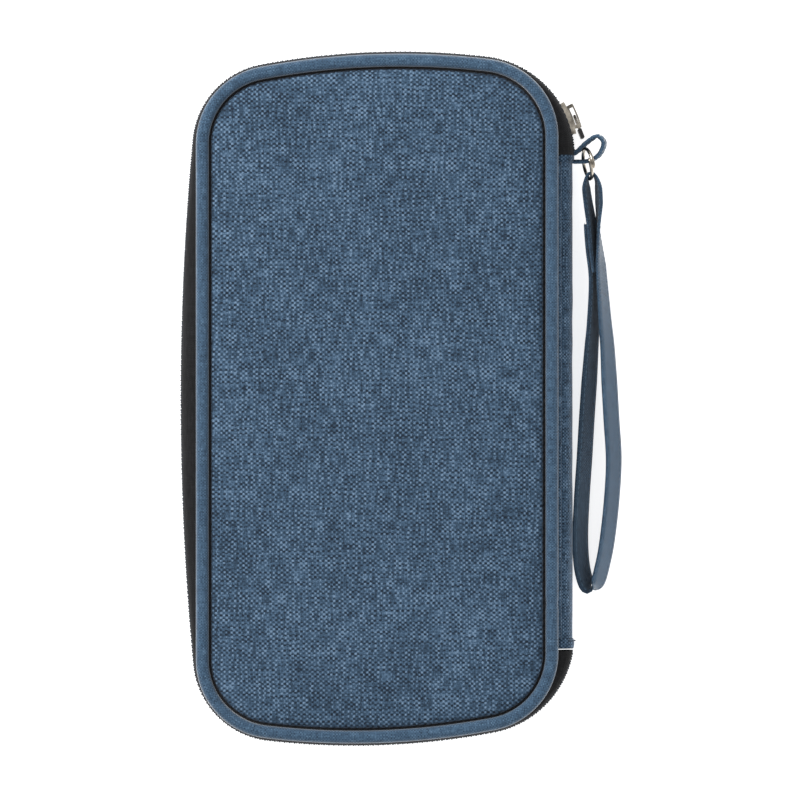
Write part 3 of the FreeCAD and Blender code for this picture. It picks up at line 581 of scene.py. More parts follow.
def stitch_row(name, lines, pitch, length, radius, material, body, slot):
    """One mesh of spindle-shaped stitches along some lines."""
    points, faces = [], []
    for line in lines:
        for middle, ahead in zip(*even_space(line, pitch)):
            side = np.cross(ahead, (0.31, 0.17, 0.93))
            side /= np.linalg.norm(side)
            up = np.cross(side, ahead)
            base = len(points)
            for along, share in STITCH_SHAPE:
                for k in range(STITCH_SIDES):
                    turn = 2 * math.pi * k / STITCH_SIDES
                    ring = side * math.cos(turn) + up * math.sin(turn)
                    points.append(middle + ahead * along * length + ring * radius * share)
            for quad in grid_faces(len(STITCH_SHAPE), STITCH_SIDES, wrap=True):
                faces.append(tuple(base + v for v in quad))
            faces.append(tuple(base + v for v in range(STITCH_SIDES)))
            faces.append(tuple(base + 3 * STITCH_SIDES + v for v in range(STITCH_SIDES)))
    row = recalc(add_piece(name, points, faces))
    print(name, "stitches", len(points) // (STITCH_SIDES * len(STITCH_SHAPE)))
    return finish(row, material, body, slot)


def level_line(plan, level):
    """A plan line lifted to one height."""
    return np.column_stack([plan, np.full(len(plan), level)])


stitch_row("front_groove_stitches", [level_line(outline(STITCH_INSET), FRONT_GROOVE + 1.0 * MM)],
           STITCH_PITCH, STITCH_LENGTH, 0.24 * MM, navy_thread, "front_half", "heather_cloth")
stitch_row("rear_groove_stitches", [level_line(outline(STITCH_INSET), REAR_GROOVE - 1.0 * MM)],
           STITCH_PITCH, STITCH_LENGTH, 0.24 * MM, navy_thread, "rear_half", "heather_cloth")

# %% [markdown]
# ## The zipped gusset
# The gusset is two black tapes sewn under the bindings. Opposite the spine it bulges outward,
# because the case is full there and nothing holds it in. Its line is a chain of seven arcs that
# flow into each other, the same ones that the frame uses, so tape, coil and slider agree.

# %% The zip's line
NEAR_RADIUS = 32.3 * MM
NEAR_X = 34.0 * MM
FAR_RADIUS = 27.0 * MM
BULGE_RADIUS = 970.0 * MM
BULGE_REACH = 66.0 * MM
TAPE_GAP = -0.9 * MM
LOWER_STOP = -86.9 * MM


def crossing(centre_a, reach_a, centre_b, reach_b, side):
    """The point at given distances from two centres."""
    gap = math.dist(centre_a, centre_b)
    along = (reach_a ** 2 - reach_b ** 2 + gap ** 2) / (2 * gap)
    off = math.sqrt(reach_a ** 2 - along ** 2) * side
    ux, uy = (centre_b[0] - centre_a[0]) / gap, (centre_b[1] - centre_a[1]) / gap
    return (centre_a[0] + ux * along - uy * off, centre_a[1] + uy * along + ux * off)


def near_corner(sign):
    """Centre of the tape's corner beside the spine."""
    middle = end_centre(sign)
    reach = END_RADIUS + TAPE_GAP - NEAR_RADIUS
    return (NEAR_X, middle[1] + sign * math.sqrt(reach ** 2 - (NEAR_X - middle[0]) ** 2))


def zip_line(offset, count):
    """Plan line of the zip, offset outward, from the upper spine end round to the lower."""
    ends = END_RADIUS + TAPE_GAP
    bulge = (BULGE_RADIUS - BULGE_REACH, 0.0)
    top, bottom = end_centre(1), end_centre(-1)
    left_top = crossing(top, ends - FAR_RADIUS, bulge, BULGE_RADIUS - FAR_RADIUS, 1)
    left_low = crossing(bottom, ends - FAR_RADIUS, bulge, BULGE_RADIUS - FAR_RADIUS, -1)
    path = [(near_corner(1), NEAR_RADIUS), (top, ends), (left_top, FAR_RADIUS), (bulge, BULGE_RADIUS),
            (left_low, FAR_RADIUS), (bottom, ends), (near_corner(-1), NEAR_RADIUS)]
    turns = [0.0]
    for (a, ra), (b, rb) in zip(path, path[1:]):
        turns.append(heading(a, b) if ra > rb else heading(b, a))
    turns.append(2 * math.pi - math.asin((near_corner(-1)[1] - LOWER_STOP) / NEAR_RADIUS))
    runs = [arc_points(c, r + offset, s, e, 0.4 * MM)
            for (c, r), s, e in zip(path, turns, turns[1:])]
    return even_run(np.vstack(runs), count)


zip_steps = np.diff(zip_line(0.0, 900), axis=0)
print("zip length, mm:", round(float(np.linalg.norm(zip_steps, axis=1).sum()) / MM, 1))

# %% [markdown]
# Each tape leaves the seam under its binding almost flat, turns at the rim and stands up to the
# coil. One curved section carried round the line gives that. Where the tape meets the binding,
# its start is the nearest point of the seam, so the two never part however far the line bulges.

# %% Zip tapes
TAPE_COLUMNS = 900
TAPE_RIM = 1.5 * MM
TAPE_THICK = 0.5 * MM
TAPE_SHAPE = ((0.0, 0.0), (0.45, 0.01), (0.78, 0.07), (0.93, 0.20),
              (0.985, 0.38), (1.0, 0.6), (1.0, 0.8), (1.0, 1.0))
seam = outline(3.0 * MM, 2400)


def nearest_seam(points):
    """For each point of the zip's line, the nearest point of the seam under the binding."""
    return np.array([seam[np.argmin(((seam - p) ** 2).sum(axis=1))] for p in points])


def tape(name, seam_level, coil_level, node_names, body):
    """One tape: from the seam under the binding, out, and up or down to the coil."""
    rim = zip_line(TAPE_RIM, TAPE_COLUMNS)
    root = nearest_seam(rim)
    rise = coil_level - seam_level
    rows = []
    for start, end in zip(root, rim):
        lap = noise.noise(Vector((end[0] * 60, end[1] * 60, seam_level * 700))) * 0.25 * MM
        gap = end - start
        rows.append([(start[0] + gap[0] * out, start[1] + gap[1] * out,
                      seam_level + rise * up + lap * (1 - up) * out) for out, up in TAPE_SHAPE])
    strip = loft(name, rows)
    thick = strip.modifiers.new("tape thickness", "SOLIDIFY")
    thick.thickness = TAPE_THICK
    thick.offset = 0.0
    finish(strip, zip_tape_cloth, body, "zip_tape", *node_names)
    print(name, "rises, mm:", round(rise / MM, 1))


tape("rear_zip_tape_cloth", rear_high[2] - 0.3 * MM, ZIP_LEVEL - 0.25 * MM, ("rear_zip_tape",), "rear_half")
tape("front_zip_tape_cloth", front_low[2] + 0.3 * MM, ZIP_LEVEL + 0.25 * MM,
     ("front_zip_tape", "front_tape_end_upper", "front_tape_end_lower"), "front_half")

# %% [markdown]
# A coil zip's teeth are one nylon filament wound into loops, pressed flat and sewn on. Each loop
# here is a small bent tube; the loops of the two halves sit half a pitch apart and reach just
# past the middle line, which is how they lock. A helix would be truer, but separate loops keep
# the mesh light and read the same.

# %% Coil teeth
TOOTH_PITCH = 1.7 * MM
TOOTH_WIRE = 0.34 * MM
WIRE_SIDES = 6
TEETH_OUT = 1.05 * MM


def tooth_line(direction):
    """Middle line of one loop, as (out, up) pairs; direction is 1 for the front half."""
    foot, head = 2.7 * MM, -0.42 * MM
    low, high = 0.25 * MM, 0.85 * MM
    bend = [(low, foot), (low, head + 0.5 * MM), (low + 0.15 * MM, head), (high - 0.15 * MM, head),
            (high, head + 0.5 * MM), (high, foot)]
    return [(out, direction * up) for out, up in bend]


def coil(name, direction, start, node, body):
    """All loops of one half of the coil."""
    line = zip_line(TEETH_OUT, 6000)
    away = sideways(line)
    length = float(np.linalg.norm(np.diff(line, axis=0), axis=1).sum())
    stations = np.arange(start, length - 1 * MM, TOOTH_PITCH) / length * (len(line) - 1)
    points, faces = [], []
    section = [(math.cos(t), math.sin(t)) for t in np.linspace(0, 2 * math.pi, WIRE_SIDES + 1)[:-1]]
    bend = tooth_line(direction)
    for station in stations.astype(int):
        base_point, out = line[station], away[station]
        ahead = np.array([-out[1], out[0], 0.0])
        outward = np.array([out[0], out[1], 0.0])
        upward = np.array([0.0, 0.0, 1.0])
        centre = np.array([base_point[0], base_point[1], ZIP_LEVEL])
        base = len(points)
        for step, (o, u) in enumerate(bend):
            before, after = bend[max(step - 1, 0)], bend[min(step + 1, len(bend) - 1)]
            go = outward * (after[0] - before[0]) + upward * (after[1] - before[1])
            go /= np.linalg.norm(go)
            normal = np.cross(ahead, go)
            slant = ahead * (step / (len(bend) - 1) - 0.5) * TOOTH_PITCH * 0.3
            middle = centre + outward * o + upward * u + slant
            for a, b in section:
                points.append(middle + (ahead * a + normal * b) * TOOTH_WIRE)
        end = base + WIRE_SIDES * (len(bend) - 1)
        faces += [tuple(base + v for v in quad) for quad in grid_faces(len(bend), WIRE_SIDES, wrap=True)]
        faces.append(tuple(base + v for v in range(WIRE_SIDES)))
        faces.append(tuple(end + v for v in range(WIRE_SIDES)))
    piece = recalc(add_piece(name, points, faces))
    finish(piece, coil_nylon, body, "zip_coil", node)
    print(name, "loops", len(stations))


coil("rear_coil_teeth", -1, TOOTH_PITCH / 2, "rear_zip_coil", "rear_half")
coil("front_coil_teeth", 1, TOOTH_PITCH, "front_zip_coil", "front_half")

# %% Stitches that hold the coil to its tapes
COIL_STITCH_LEVELS = (3.5 * MM, 5.0 * MM)
for side, body in ((-1, "rear_half"), (1, "front_half")):
    rows = [level_line(zip_line(1.7 * MM, 900), ZIP_LEVEL + side * up) for up in COIL_STITCH_LEVELS]
    stitch_row(f"{body}_tape_stitches", rows, 1.9 * MM, 1.5 * MM, 0.18 * MM, navy_thread, body, "zip_tape")

# %% [markdown]
# ## The spine
# The spine is a soft strip of the same heathered cloth that bows outward between two fold lines.
# It is lofted from one bowed section carried along its length; the bow breathes slightly, as a
# strip with nothing stiff in it does. Each end is folded back once, which makes a thicker hem.

# %% Spine panel, lining and hems
panel_low, panel_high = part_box("spine_panel")
hem_low, hem_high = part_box("spine_hem_upper")
lower_hem_low, lower_hem_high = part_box("spine_hem_lower")
SPINE_ROOT = 62.0 * MM
SPINE_COLUMNS = 15
SPINE_SPARE = 0.4 * MM


def spine_section(reach, low, high, fullness=0.62):
    """A bowed section from the lower to the upper fold, as (x, z) pairs."""
    turn = np.linspace(-math.pi / 2, math.pi / 2, SPINE_COLUMNS)
    out = np.cos(turn) ** fullness * reach
    level = (low + high) / 2 + np.sin(turn) * (high - low) / 2
    return np.column_stack([SPINE_ROOT + out, level])


def spine_strip(name, start, end, reach, rows, material, slot, nodes, thick, puff=0.0):
    """A bowed strip from one y to another."""
    rings = []
    for share in np.linspace(0, 1, rows):
        y = start + (end - start) * share
        breath = 1 + 0.025 * noise.noise(Vector((0.3, y * 45, 2.0))) + puff * math.sin(math.pi * share)
        section = spine_section(reach * breath, panel_low[2] - SPINE_SPARE, panel_high[2] + SPINE_SPARE)
        rings.append([(x + 0.12 * MM * noise.noise(Vector((y * 130, z * 160, 5.0))), y, z)
                      for x, z in section])
    strip = loft(name, rings)
    solid = strip.modifiers.new("cloth thickness", "SOLIDIFY")
    solid.thickness = thick
    solid.offset = 1.0
    print(name, "length, mm:", round(abs(end - start) / MM, 1))
    return finish(strip, material, "spine", slot, *nodes)


REACH = panel_high[0] - SPINE_ROOT - 0.9 * MM
spine_strip("spine_outer_cloth", panel_low[1] - 0.3 * MM, panel_high[1] + 0.3 * MM, REACH, 90,
            spine_cloth, "heather_cloth", ("spine_panel",), 0.7 * MM)
spine_strip("spine_inner_lining", panel_low[1], panel_high[1], REACH - 0.9 * MM, 40,
            lining_cloth, "lining_cloth", ("spine_lining",), 0.4 * MM)
for name, (low, high), node in (("spine_upper_hem", (hem_low, hem_high), "spine_hem_upper"),
                                ("spine_lower_hem", (lower_hem_low, lower_hem_high), "spine_hem_lower")):
    spine_strip(name, low[1], high[1], REACH + 0.35 * MM, 9, spine_cloth, "heather_cloth",
                (node,), 0.9 * MM, puff=0.05)

# %% [markdown]
# Along each fold line the spine and a cover meet edge to edge, and a sheet that turns about a
# line opens a slit there. Here a thin roll of cloth closes it. A roll centred on the hinge looks
# the same from every side, so it hides the seam however far the case opens.

# %% Rolls along the folds
WELT = 0.95 * MM


def fold_welt(name, joint):
    """A thin roll of cloth along a fold line."""
    x, _, z = JOINTS[joint]["pos_m"]
    turn = np.linspace(0, 2 * math.pi, 13)
    rings = [[(x + WELT * math.cos(t), y, z + WELT * math.sin(t)) for t in turn]
             for y in np.linspace(panel_low[1], panel_high[1], 50)]
    print(name, "at x, z, mm:", round(x / MM, 1), round(z / MM, 1))
    return finish(recalc(loft(name, rings, caps=True)), spine_cloth, "spine", "heather_cloth")


fold_welt("lower_fold_welt", "spine_fold")
fold_welt("upper_fold_welt", "cover_fold")


# %% Stitches across the hems
def bow_line(y, reach):
    """A line of stitches across the bowed spine."""
    section = spine_section(reach, panel_low[2] - SPINE_SPARE, panel_high[2] + SPINE_SPARE)[2:-2]
    return np.array([(x, y, z) for x, z in section])


stitch_row("spine_hem_stitches",
           [bow_line(hem_low[1] + 0.7 * MM, REACH + 0.95 * MM),
            bow_line(lower_hem_high[1] - 0.7 * MM, REACH + 0.95 * MM)],
           2.2 * MM, 1.6 * MM, 0.2 * MM, navy_thread, "spine", "heather_cloth")

# %% [markdown]
# ## Ribbon: the tab and the wrist strap
# A ribbon is a strip folded lengthwise and stitched along both edges, about a centimetre wide. It
# is stiff across and limp along, so it can lean and curl but never stretches. The helper sweeps a
# thin rounded section along a smooth line; at each point it is told how far the ribbon leans.
# Cloth simulation would rather melt a loop this narrow, so the line is given as points and smoothed
# with a spline.

# %% Ribbon helper
def smooth_line(points, count):
    """A Catmull-Rom line through some points, evenly spaced."""
    p = np.asarray(points, float)
    p = np.vstack([2 * p[0] - p[1], p, 2 * p[-1] - p[-2]])
    run = []
    for a, b, c, d in zip(p, p[1:], p[2:], p[3:]):
        for t in np.linspace(0, 1, 24, endpoint=False):
            run.append(0.5 * ((2 * b) + (c - a) * t + (2 * a - 5 * b + 4 * c - d) * t ** 2
                              + (3 * b - a - 3 * c + d) * t ** 3))
    run.append(p[-2])
    return even_run(np.array(run), count)


def ribbon_frames(line, lean):
    """Across and face directions of a ribbon that stands on edge, leaning by some degrees."""
    ahead = np.gradient(line, axis=0)
    ahead /= np.linalg.norm(ahead, axis=1)[:, None]
    turn = np.radians(lean)
    across = np.column_stack([-np.sin(turn), -0.25 * np.sin(turn), np.cos(turn)])
    across -= ahead * (across * ahead).sum(axis=1)[:, None]
    across /= np.linalg.norm(across, axis=1)[:, None]
    return across, np.cross(ahead, across)


def ribbon(name, line, lean, width, thick, body, *nodes):
    """A ribbon with rounded edges, and its two rows of edge stitches."""
    across, face = ribbon_frames(line, lean)
    widths = np.broadcast_to(width, len(line))
    upper = [(-0.5, 0.0), (-0.49, 0.34), (-0.46, 0.5), (-0.2, 0.44),
             (0.0, 0.42), (0.2, 0.44), (0.46, 0.5), (0.49, 0.34)]
    section = upper + [(-w, -t) for w, t in upper] + upper[:1]
    rows = [[point + a * w * wide + f * t * thick for w, t in section]
            for point, a, f, wide in zip(line, across, face, widths)]
    piece = recalc(loft(name, rows, caps=True))
    finish(piece, binding_cloth, body, "binding_cloth", *nodes)
    # The ribbon's inner face takes the darker cloth, as painted shade.
    piece.data.materials.append(ribbon_shaded_face)
    quads = len(section) - 1
    for face_number in range((len(rows) - 1) * quads):
        if face_number % quads < quads // 2:
            piece.data.polygons[face_number].material_index = 1
    edges = [line + across * (widths[:, None] / 2 - 1.5 * MM) * side + face * thick * 0.5 * facing
             for side in (1, -1) for facing in (1, -1)]
    threads = stitch_row(f"{name}_stitches", edges, 2.0 * MM, 1.5 * MM, 0.17 * MM, blue_thread, body,
                         "binding_cloth")
    length = float(np.linalg.norm(np.diff(line, axis=0), axis=1).sum())
    print(name, "length mm", round(length / MM, 1))
    return piece, threads


# %% [markdown]
# The tab is a short piece of the ribbon, sewn into the spine's upper hem and folded back on
# itself. It stands on edge and leans only a little. The ring hangs in its bend, so the frame's
# joint for the ring gives the place where they touch.

# %% Tab
ring_low, ring_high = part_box("strap_ring")
ring_middle = (Vector(ring_low) + Vector(ring_high)) / 2
upper_pin = Vector(JOINTS["ring_swing"]["pos_m"])
lower_pin = Vector(JOINTS["strap_swing"]["pos_m"])
tab_low, tab_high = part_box("strap_tab")
TAB_LEVEL = (tab_low[2] + tab_high[2]) / 2
TAB_THICK = 1.2 * MM
TAB_LEAN = 8.0
TAB_POINTS = [
    (66.0, 83.9), (69.4, 85.7), (73.0, 89.0), (76.4, 90.9), (78.6, 88.6), (77.0, 84.6),
    (73.6, 82.5), (70.2, 82.1), (66.2, 82.2),
]
tab_line = smooth_line([(x * MM, y * MM, TAB_LEVEL) for x, y in TAB_POINTS], 70)
tab_lean = np.full(len(tab_line), TAB_LEAN)
tab_pieces = ribbon("tab_ribbon", tab_line, tab_lean, tab_high[2] - tab_low[2], TAB_THICK,
                    "spine", "strap_tab")

# %% [markdown]
# The wrist strap is one ribbon passed through the ring and sewn to itself. Near the ring it is
# gathered narrow and its two runs part in a V; further down it lies over at a slant, and at the
# far end it makes a pointed loop. The lean, the width and the height above the table each change
# slowly along its length, so each is a simple blend between two values.

# %% Wrist strap
STRAP_END_LEVEL = 5.6 * MM
STRAP_SLOPE_LENGTH = 140 * MM
STRAP_THICK = 0.9 * MM
STRAP_LEAN_LOW, STRAP_LEAN_HIGH = 33.0, 20.0
LEAN_LOW_Y, LEAN_HIGH_Y = 6 * MM, 45 * MM
OPENING_START, OPENING_LENGTH = 46 * MM, 22 * MM
OPENING_TURN = 1.7
FOLD_LENGTH = 5 * MM
GATHER_LENGTH = 20 * MM
GATHERED_WIDTH = 6.2 * MM
FULL_WIDTH = 9.8 * MM
STRAP_POINTS = [
    (76.3, 44.0), (75.2, 52.0), (74.4, 60.0), (73.1, 68.0), (72.4, 74.0), (72.9, 77.3),
    (74.1, 78.1), (75.3, 77.4), (76.5, 74.5), (76.9, 68.0), (76.7, 60.0), (77.1, 52.0),
    (77.9, 41.0), (79.0, 27.0), (79.8, 18.5), (80.5, 6.4), (81.3, -7.4), (82.1, -21.2),
    (81.4, -35.0), (79.9, -48.8), (78.3, -57.5), (76.2, -64.6), (73.3, -65.4), (71.2, -59.0),
    (70.5, -48.8), (71.0, -35.0), (71.9, -21.2), (72.7, -7.4), (73.6, 6.4), (74.4, 18.5),
    (75.0, 27.0), (75.3, 41.0), (74.1, 52.0), (73.4, 60.6),
]


def strap_level(y):
    """The strap slopes from the ring down to the table."""
    share = min(1.0, max(0.0, (lower_pin.y - y) / STRAP_SLOPE_LENGTH))
    return lower_pin.z * (1 - share) + STRAP_END_LEVEL * share


strap_line = smooth_line([(x * MM, y * MM, strap_level(y * MM)) for x, y in STRAP_POINTS], 420)
fold = int(np.argmax(strap_line[:, 1]))
below_fold = strap_line[fold, 1] - strap_line[:, 1]
strap_lean = np.interp(strap_line[:, 1], (LEAN_LOW_Y, LEAN_HIGH_Y), (STRAP_LEAN_LOW, STRAP_LEAN_HIGH))
strap_lean *= np.clip(below_fold / FOLD_LENGTH, 0, 1)
opening = np.clip((strap_line[:, 1] - OPENING_START) / OPENING_LENGTH, 0, 1)
order = np.arange(len(strap_line))
going_down = (order > fold) & (order < len(strap_line) // 2)
strap_lean = np.where(going_down, strap_lean * (1 - OPENING_TURN * opening), strap_lean)
gathered = np.clip(below_fold / GATHER_LENGTH, 0, 1)
strap_width = GATHERED_WIDTH + (FULL_WIDTH - GATHERED_WIDTH) * gathered
strap_pieces = ribbon("wrist_strap_ribbon", strap_line, strap_lean, strap_width, STRAP_THICK,
                      "strap", "wrist_strap")

# %% [markdown]
# The ring is a split ring of round wire: a little more than one turn, with its ends side by side.
# A torus would close on itself and lose the overlap, so the wire is lofted along a shallow helix
# and pinched at both ends.

# %% Wire ring
RING_TILT = math.radians(14)
RING_START = 1.2
RING_ROWS = 130


def wire_ring(name, radius, wire, turns, rise, body, node):
    """A split ring; rise is how far apart its two ends lie."""
    axis_x = (upper_pin - lower_pin).normalized()
    out = Vector((axis_x.y, -axis_x.x, 0))
    axis_z = Vector((0, 0, 1)) * math.cos(RING_TILT) + out * math.sin(RING_TILT)
    face = axis_x.cross(axis_z).normalized()
    rows = []
    for share in np.linspace(0, 1, RING_ROWS):
        turn = 2 * math.pi * turns * share + RING_START
        arm = axis_x * math.cos(turn) + axis_z * math.sin(turn)
        centre = ring_middle + arm * radius + face * rise * (share - 0.5)
        pinch = min(1.0, 0.3 + 30 * min(share, 1 - share))
        rows.append([centre + (arm * math.cos(t) + face * math.sin(t)) * wire * pinch
                     for t in np.linspace(0, 2 * math.pi, 17)])
    piece = recalc(loft(name, rows, caps=True))
    print(name, "outer size, mm:", round(2 * (radius + wire) / MM, 1))
    return finish(piece, nickel, body, "nickel", node)


ring_piece = wire_ring("wire_split_ring", radius=5.25 * MM, wire=0.62 * MM, turns=1.12, rise=1.1 * MM,
                       body="ring", node="strap_ring")

# %% [markdown]
# When the case is opened flat, the spine turns down onto the table and the tab, ring and strap
# are trapped under it. The real ribbon squashes flat there; here these pieces are only given
# meshes of their own, and nothing squashes them.

# %% Own meshes for the pieces under the spine
hanging = (*tab_pieces, *strap_pieces, ring_piece)
for piece in hanging:
    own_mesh(piece)
print("squashed pieces:", len(hanging))

# %% [markdown]
# ## Metal and moulded parts
# The slider is cast zinc with a nickel plate. The frame already has its curved plates and arched
# bridge where they run on the coil, so those nodes stay and get rounded edges from a bevel
# modifier. The puller is black.

# %% Slider, bridge and pullers
def dress_node(node, material, bevel):
    """Keeps a frame node, gives it a finish and softens its edges."""
    item = frame["nodes"][node]
    item.data.materials.clear()
    item.data.materials.append(material)
    if bevel:
        soft = item.modifiers.new("soft edges", "BEVEL")
        soft.width = bevel
        soft.segments = 3
        soft.limit_method = "ANGLE"
        soft.angle_limit = math.radians(30)
        soft.harden_normals = False
    print("kept node", node, "bevel, mm:", round(bevel / MM, 2))


for node in ("slider_body", "slider_bridge", "coin_slider"):
    dress_node(node, nickel, 0.22 * MM)
dress_node("pull_link", nickel, 0.1 * MM)
dress_node("pull_tab", puller_rubber, 0.2 * MM)
dress_node("coin_pull", puller_rubber, 0.15 * MM)
for node in ("rear_foam_board", "front_foam_board"):
    dress_node(node, foam, 0)

# %% [markdown]
# ## Inside the covers
# Each inner piece is a flat cloth panel with turned edges: pockets, card slots, the zipped
# pocket. One helper builds them all from the frame's box: a thin pillow with rounded corners, a
# rolled hem along its open edge and stitches along its sewn edges. That keeps the sewing the same
# everywhere, as it is on the real thing.

# %% Inner cloth panels
def rounded_loop(low, high, corner, count=120):
    """A closed rounded rectangle in plan, evenly spaced."""
    x0, y0, x1, y1 = low[0], low[1], high[0], high[1]
    line = np.vstack([
        arc_points((x1 - corner, y1 - corner), corner, 0, math.pi / 2),
        arc_points((x0 + corner, y1 - corner), corner, math.pi / 2, math.pi),
        arc_points((x0 + corner, y0 + corner), corner, math.pi, 1.5 * math.pi),
        arc_points((x1 - corner, y0 + corner), corner, 1.5 * math.pi, 2 * math.pi),
        [[x1, y1 - corner]],
    ])
    return even_run(line, count)[:-1]


PILLOW_RINGS = ((1.0, 0.0), (1.0, 0.55), (0.995, 0.85), (0.985, 0.97), (0.9, 1.0), (0.6, 1.0), (0.3, 1.0))


def cloth_pillow(name, loop, base, face, material, body, slot, *nodes):
    """A thin pillow over a closed plan line, from its base level to its face level."""
    middle = loop.mean(axis=0)
    rise = face - base
    points, cloth = [], []
    for share, level in PILLOW_RINGS:
        for x, y in loop:
            px, py = middle[0] + (x - middle[0]) * share, middle[1] + (y - middle[1]) * share
            inner = share < 0.95
            sag = 0.10 * rise * noise.noise(Vector((px * 55, py * 55, base * 500))) if inner else 0.0
            points.append((px, py, base + rise * level + sag))
            cloth.append((px, py))
    count = len(loop)
    last = (len(PILLOW_RINGS) - 1) * count
    faces = grid_faces(len(PILLOW_RINGS), count, wrap=True)
    faces.append(tuple(range(count)))
    faces.append(tuple(last + j for j in reversed(range(count))))
    piece = recalc(add_piece(name, points, faces, cloth))
    return finish(piece, material, body, slot, *nodes)


def hem_roll(name, start, end, radius, body, slot, material):
    """A rolled hem along an open edge."""
    run = np.linspace(start, end, 40)
    rows = [[(x, y + radius * math.cos(t), z + 0.6 * radius * math.sin(t))
             for t in np.linspace(0, 2 * math.pi, 11)] for x, y, z in run]
    return finish(recalc(loft(name, rows, caps=True)), material, body, slot)


def sewn_panel(node, name, facing, body, material, slot):
    """A pocket panel from a frame box; facing is 1 where its face looks up, -1 where down."""
    low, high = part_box(node)
    base, face = (low[2], high[2]) if facing > 0 else (high[2], low[2])
    loop = rounded_loop(low, high, 2.5 * MM)
    cloth_pillow(name, loop, base, face, material, body, slot, node)
    inset = 1.6 * MM
    level = face + facing * 0.05 * MM
    rim = [(low[0] + inset, high[1] - 2 * inset, level), (low[0] + inset, low[1] + inset, level),
           (high[0] - inset, low[1] + inset, level), (high[0] - inset, high[1] - 2 * inset, level)]
    dense = [np.linspace(a, b, 30) for a, b in zip(rim, rim[1:])]
    stitch_row(f"{name}_stitches", dense, STITCH_PITCH, STITCH_LENGTH, 0.16 * MM, blue_thread,
               body, slot)
    radius = 0.55 * MM
    edge_y = high[1] - radius
    hem_roll(f"{name}_hem", (low[0] + inset, edge_y, level), (high[0] - inset, edge_y, level),
             radius, body, slot, material)


sewn_panel("passport_pocket_lower", "lower_passport_pocket", 1, "rear_half", pocket_cloth, "pocket_cloth")
sewn_panel("passport_pocket_upper", "upper_passport_pocket", 1, "rear_half", pocket_cloth, "pocket_cloth")
for number in range(1, 6):
    sewn_panel(f"card_slot_{number}", f"card_pocket_{number}", -1, "front_half", pocket_cloth, "pocket_cloth")
sewn_panel("coin_pocket_bag", "zipped_pocket_bag", -1, "front_half", pocket_cloth, "pocket_cloth")
sewn_panel("coin_pocket_strip", "zipped_pocket_strip", -1, "front_half", pocket_cloth, "pocket_cloth")

# %% [markdown]
# Each cover is lined with one smooth sheet that follows the outline a little inside the binding.
# It is the same thin pillow as the pockets, only with the cover's own outline round it.

# %% Linings
LINING_INSET = 3.2 * MM
for half, facing in (("rear", 1), ("front", -1)):
    low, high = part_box(f"{half}_lining")
    base, face = (low[2], high[2]) if facing > 0 else (high[2], low[2])
    cloth_pillow(f"{half}_inner_lining", outline(LINING_INSET, PANEL_POINTS)[:-1], base, face,
                 lining_cloth, f"{half}_half", "lining_cloth", f"{half}_lining")
    print(half, "lining faces", "up" if facing > 0 else "down")

# %% [markdown]
# The zipped pocket has two narrow tapes with a closed coil between them. Its coil is far too fine
# for loops to show, so two rows of short nylon spindles from the stitch helper stand for it.

# %% Pocket zip
COIL_INSET, COIL_STEP = 2 * MM, 0.8 * MM
for half in ("lower", "upper"):
    low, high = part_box(f"coin_zip_tape_{half}")
    cloth_pillow(f"pocket_zip_tape_{half}", rounded_loop(low, high, 0.4 * MM), high[2], low[2],
                 zip_tape_cloth, "front_half", "zip_tape", f"coin_zip_tape_{half}")

zip_low, zip_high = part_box("coin_zip_tape_lower")
coil_y, coil_z = zip_high[1] + 0.3 * MM, zip_low[2] - 0.25 * MM
coil_run = np.linspace((zip_low[0] + COIL_INSET, coil_y, coil_z),
                       (zip_high[0] - COIL_INSET, coil_y, coil_z), 60)
for half, side in (("lower", -1), ("upper", 1)):
    run = coil_run + np.array([0, side * COIL_STEP, 0])
    stitch_row(f"pocket_coil_{half}", [run], 0.9 * MM, 0.8 * MM, 0.42 * MM, coil_nylon,
               "front_half", "zip_coil")

# %% [markdown]
# The pen loop is a sleeve of wide black elastic. A tube lofted from circles, given the thickness
# of elastic by a solidify modifier, has the open bore that a pen needs.

# %% Pen loop
pen_low, pen_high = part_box("pen_loop")
pen_x, pen_z = (pen_low[0] + pen_high[0]) / 2, (pen_low[2] + pen_high[2]) / 2
PEN_RADIUS = (pen_high[0] - pen_low[0]) / 2 - 0.35 * MM
pen_rows = []
for y in np.linspace(pen_low[1], pen_high[1], 26):
    turn = np.linspace(-math.pi / 2, 1.5 * math.pi, 41)
    pen_rows.append([(pen_x + PEN_RADIUS * math.cos(t), y, pen_z + PEN_RADIUS * math.sin(t)) for t in turn])
pen_sleeve = recalc(loft("elastic_pen_loop", pen_rows))
wall = pen_sleeve.modifiers.new("elastic thickness", "SOLIDIFY")
wall.thickness = 0.7 * MM
finish(pen_sleeve, elastic_cloth, "rear_half", "elastic", "pen_loop")
print("pen loop radius, mm:", round(PEN_RADIUS / MM, 2))

# %% [markdown]
# ## Table, light and camera
# The holder lies on a white table under two large soft lights. The table glows a little of its
# own, so that it stays white right round the case and its shadow stays faint. Bright lamps alone
# would do the same but would wash out the cloth.

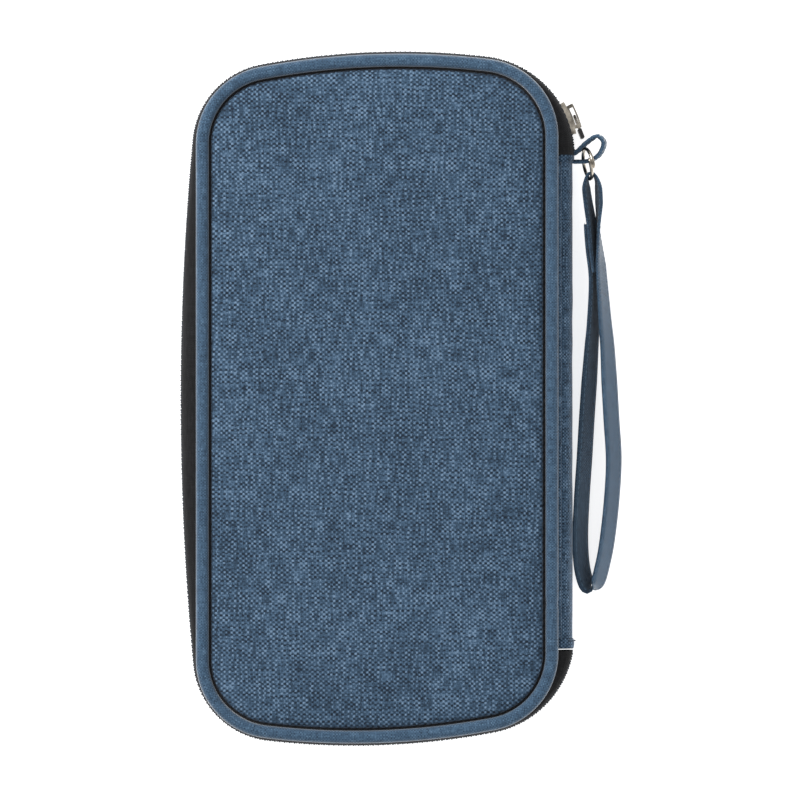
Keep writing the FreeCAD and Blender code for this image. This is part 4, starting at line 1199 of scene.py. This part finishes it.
# %% Stage
def soft_light(name, place, target, watts, size):
    """One square area light aimed at a point."""
    lamp = bpy.data.lights.new(name, "AREA")
    lamp.energy = watts
    lamp.size = size
    item = bpy.data.objects.new(name, lamp)
    item.location = place
    item.rotation_euler = (Vector(target) - Vector(place)).to_track_quat("-Z", "Y").to_euler()
    bpy.context.collection.objects.link(item)
    return item


FLOOR_LEVEL = -1.0 * MM
FLOOR_HALF = 6
FLOOR_CORNERS = ((-1, -1), (1, -1), (1, 1), (-1, 1))
floor = add_piece("table_top", [(x * FLOOR_HALF, y * FLOOR_HALF, FLOOR_LEVEL) for x, y in FLOOR_CORNERS],
                  [(0, 1, 2, 3)])
table = bpy.data.materials.new("lit_table")
table.use_nodes = True
table_shader = table.node_tree.nodes["Principled BSDF"]
table_shader.inputs["Base Color"].default_value = (0.8, 0.8, 0.8, 1)
table_shader.inputs["Roughness"].default_value = 0.9
table_shader.inputs["Emission Color"].default_value = (1.0, 1.0, 1.0, 1)
table_shader.inputs["Emission Strength"].default_value = 0.75
floor.data.materials.append(table)
soft_light("window_light", (-0.9, 0.75, 0.85), (0, 0, 0), 20, 0.7)
soft_light("fill_light", (0.9, -0.5, 1.2), (0, 0, 0), 6, 1.0)
world = bpy.data.worlds.new("soft_room")
world.use_nodes = True
world.node_tree.nodes["Background"].inputs["Color"].default_value = (1.0, 1.0, 1.0, 1)
world.node_tree.nodes["Background"].inputs["Strength"].default_value = 0.5
bpy.context.scene.world = world
bpy.context.scene.view_settings.view_transform = "Standard"
print("lamps:", sorted(lamp.name for lamp in bpy.data.lights))

# %% [markdown]
# From three metres up the camera sees hardly more of one side of the case than of the other. Its
# lens is worked out from the width that has to fit in the view, by similar triangles: sensor over
# lens is width over height.

# %% Camera
VIEW_WIDTH = 276.0 * MM
CAMERA_HEIGHT = 3.0
AIM_X = 7.9 * MM
AIM_Y = -0.5 * MM
camera_data = bpy.data.cameras.new("camera")
camera_data.sensor_width = 36
camera_data.lens = camera_data.sensor_width * CAMERA_HEIGHT / VIEW_WIDTH
camera_data.clip_start = 0.01
camera_data.clip_end = 50
camera = bpy.data.objects.new("camera", camera_data)
camera.location = (AIM_X, AIM_Y, front_high[2] + CAMERA_HEIGHT)
bpy.context.collection.objects.link(camera)
bpy.context.scene.camera = camera
print("lens, mm:", round(camera_data.lens, 1))
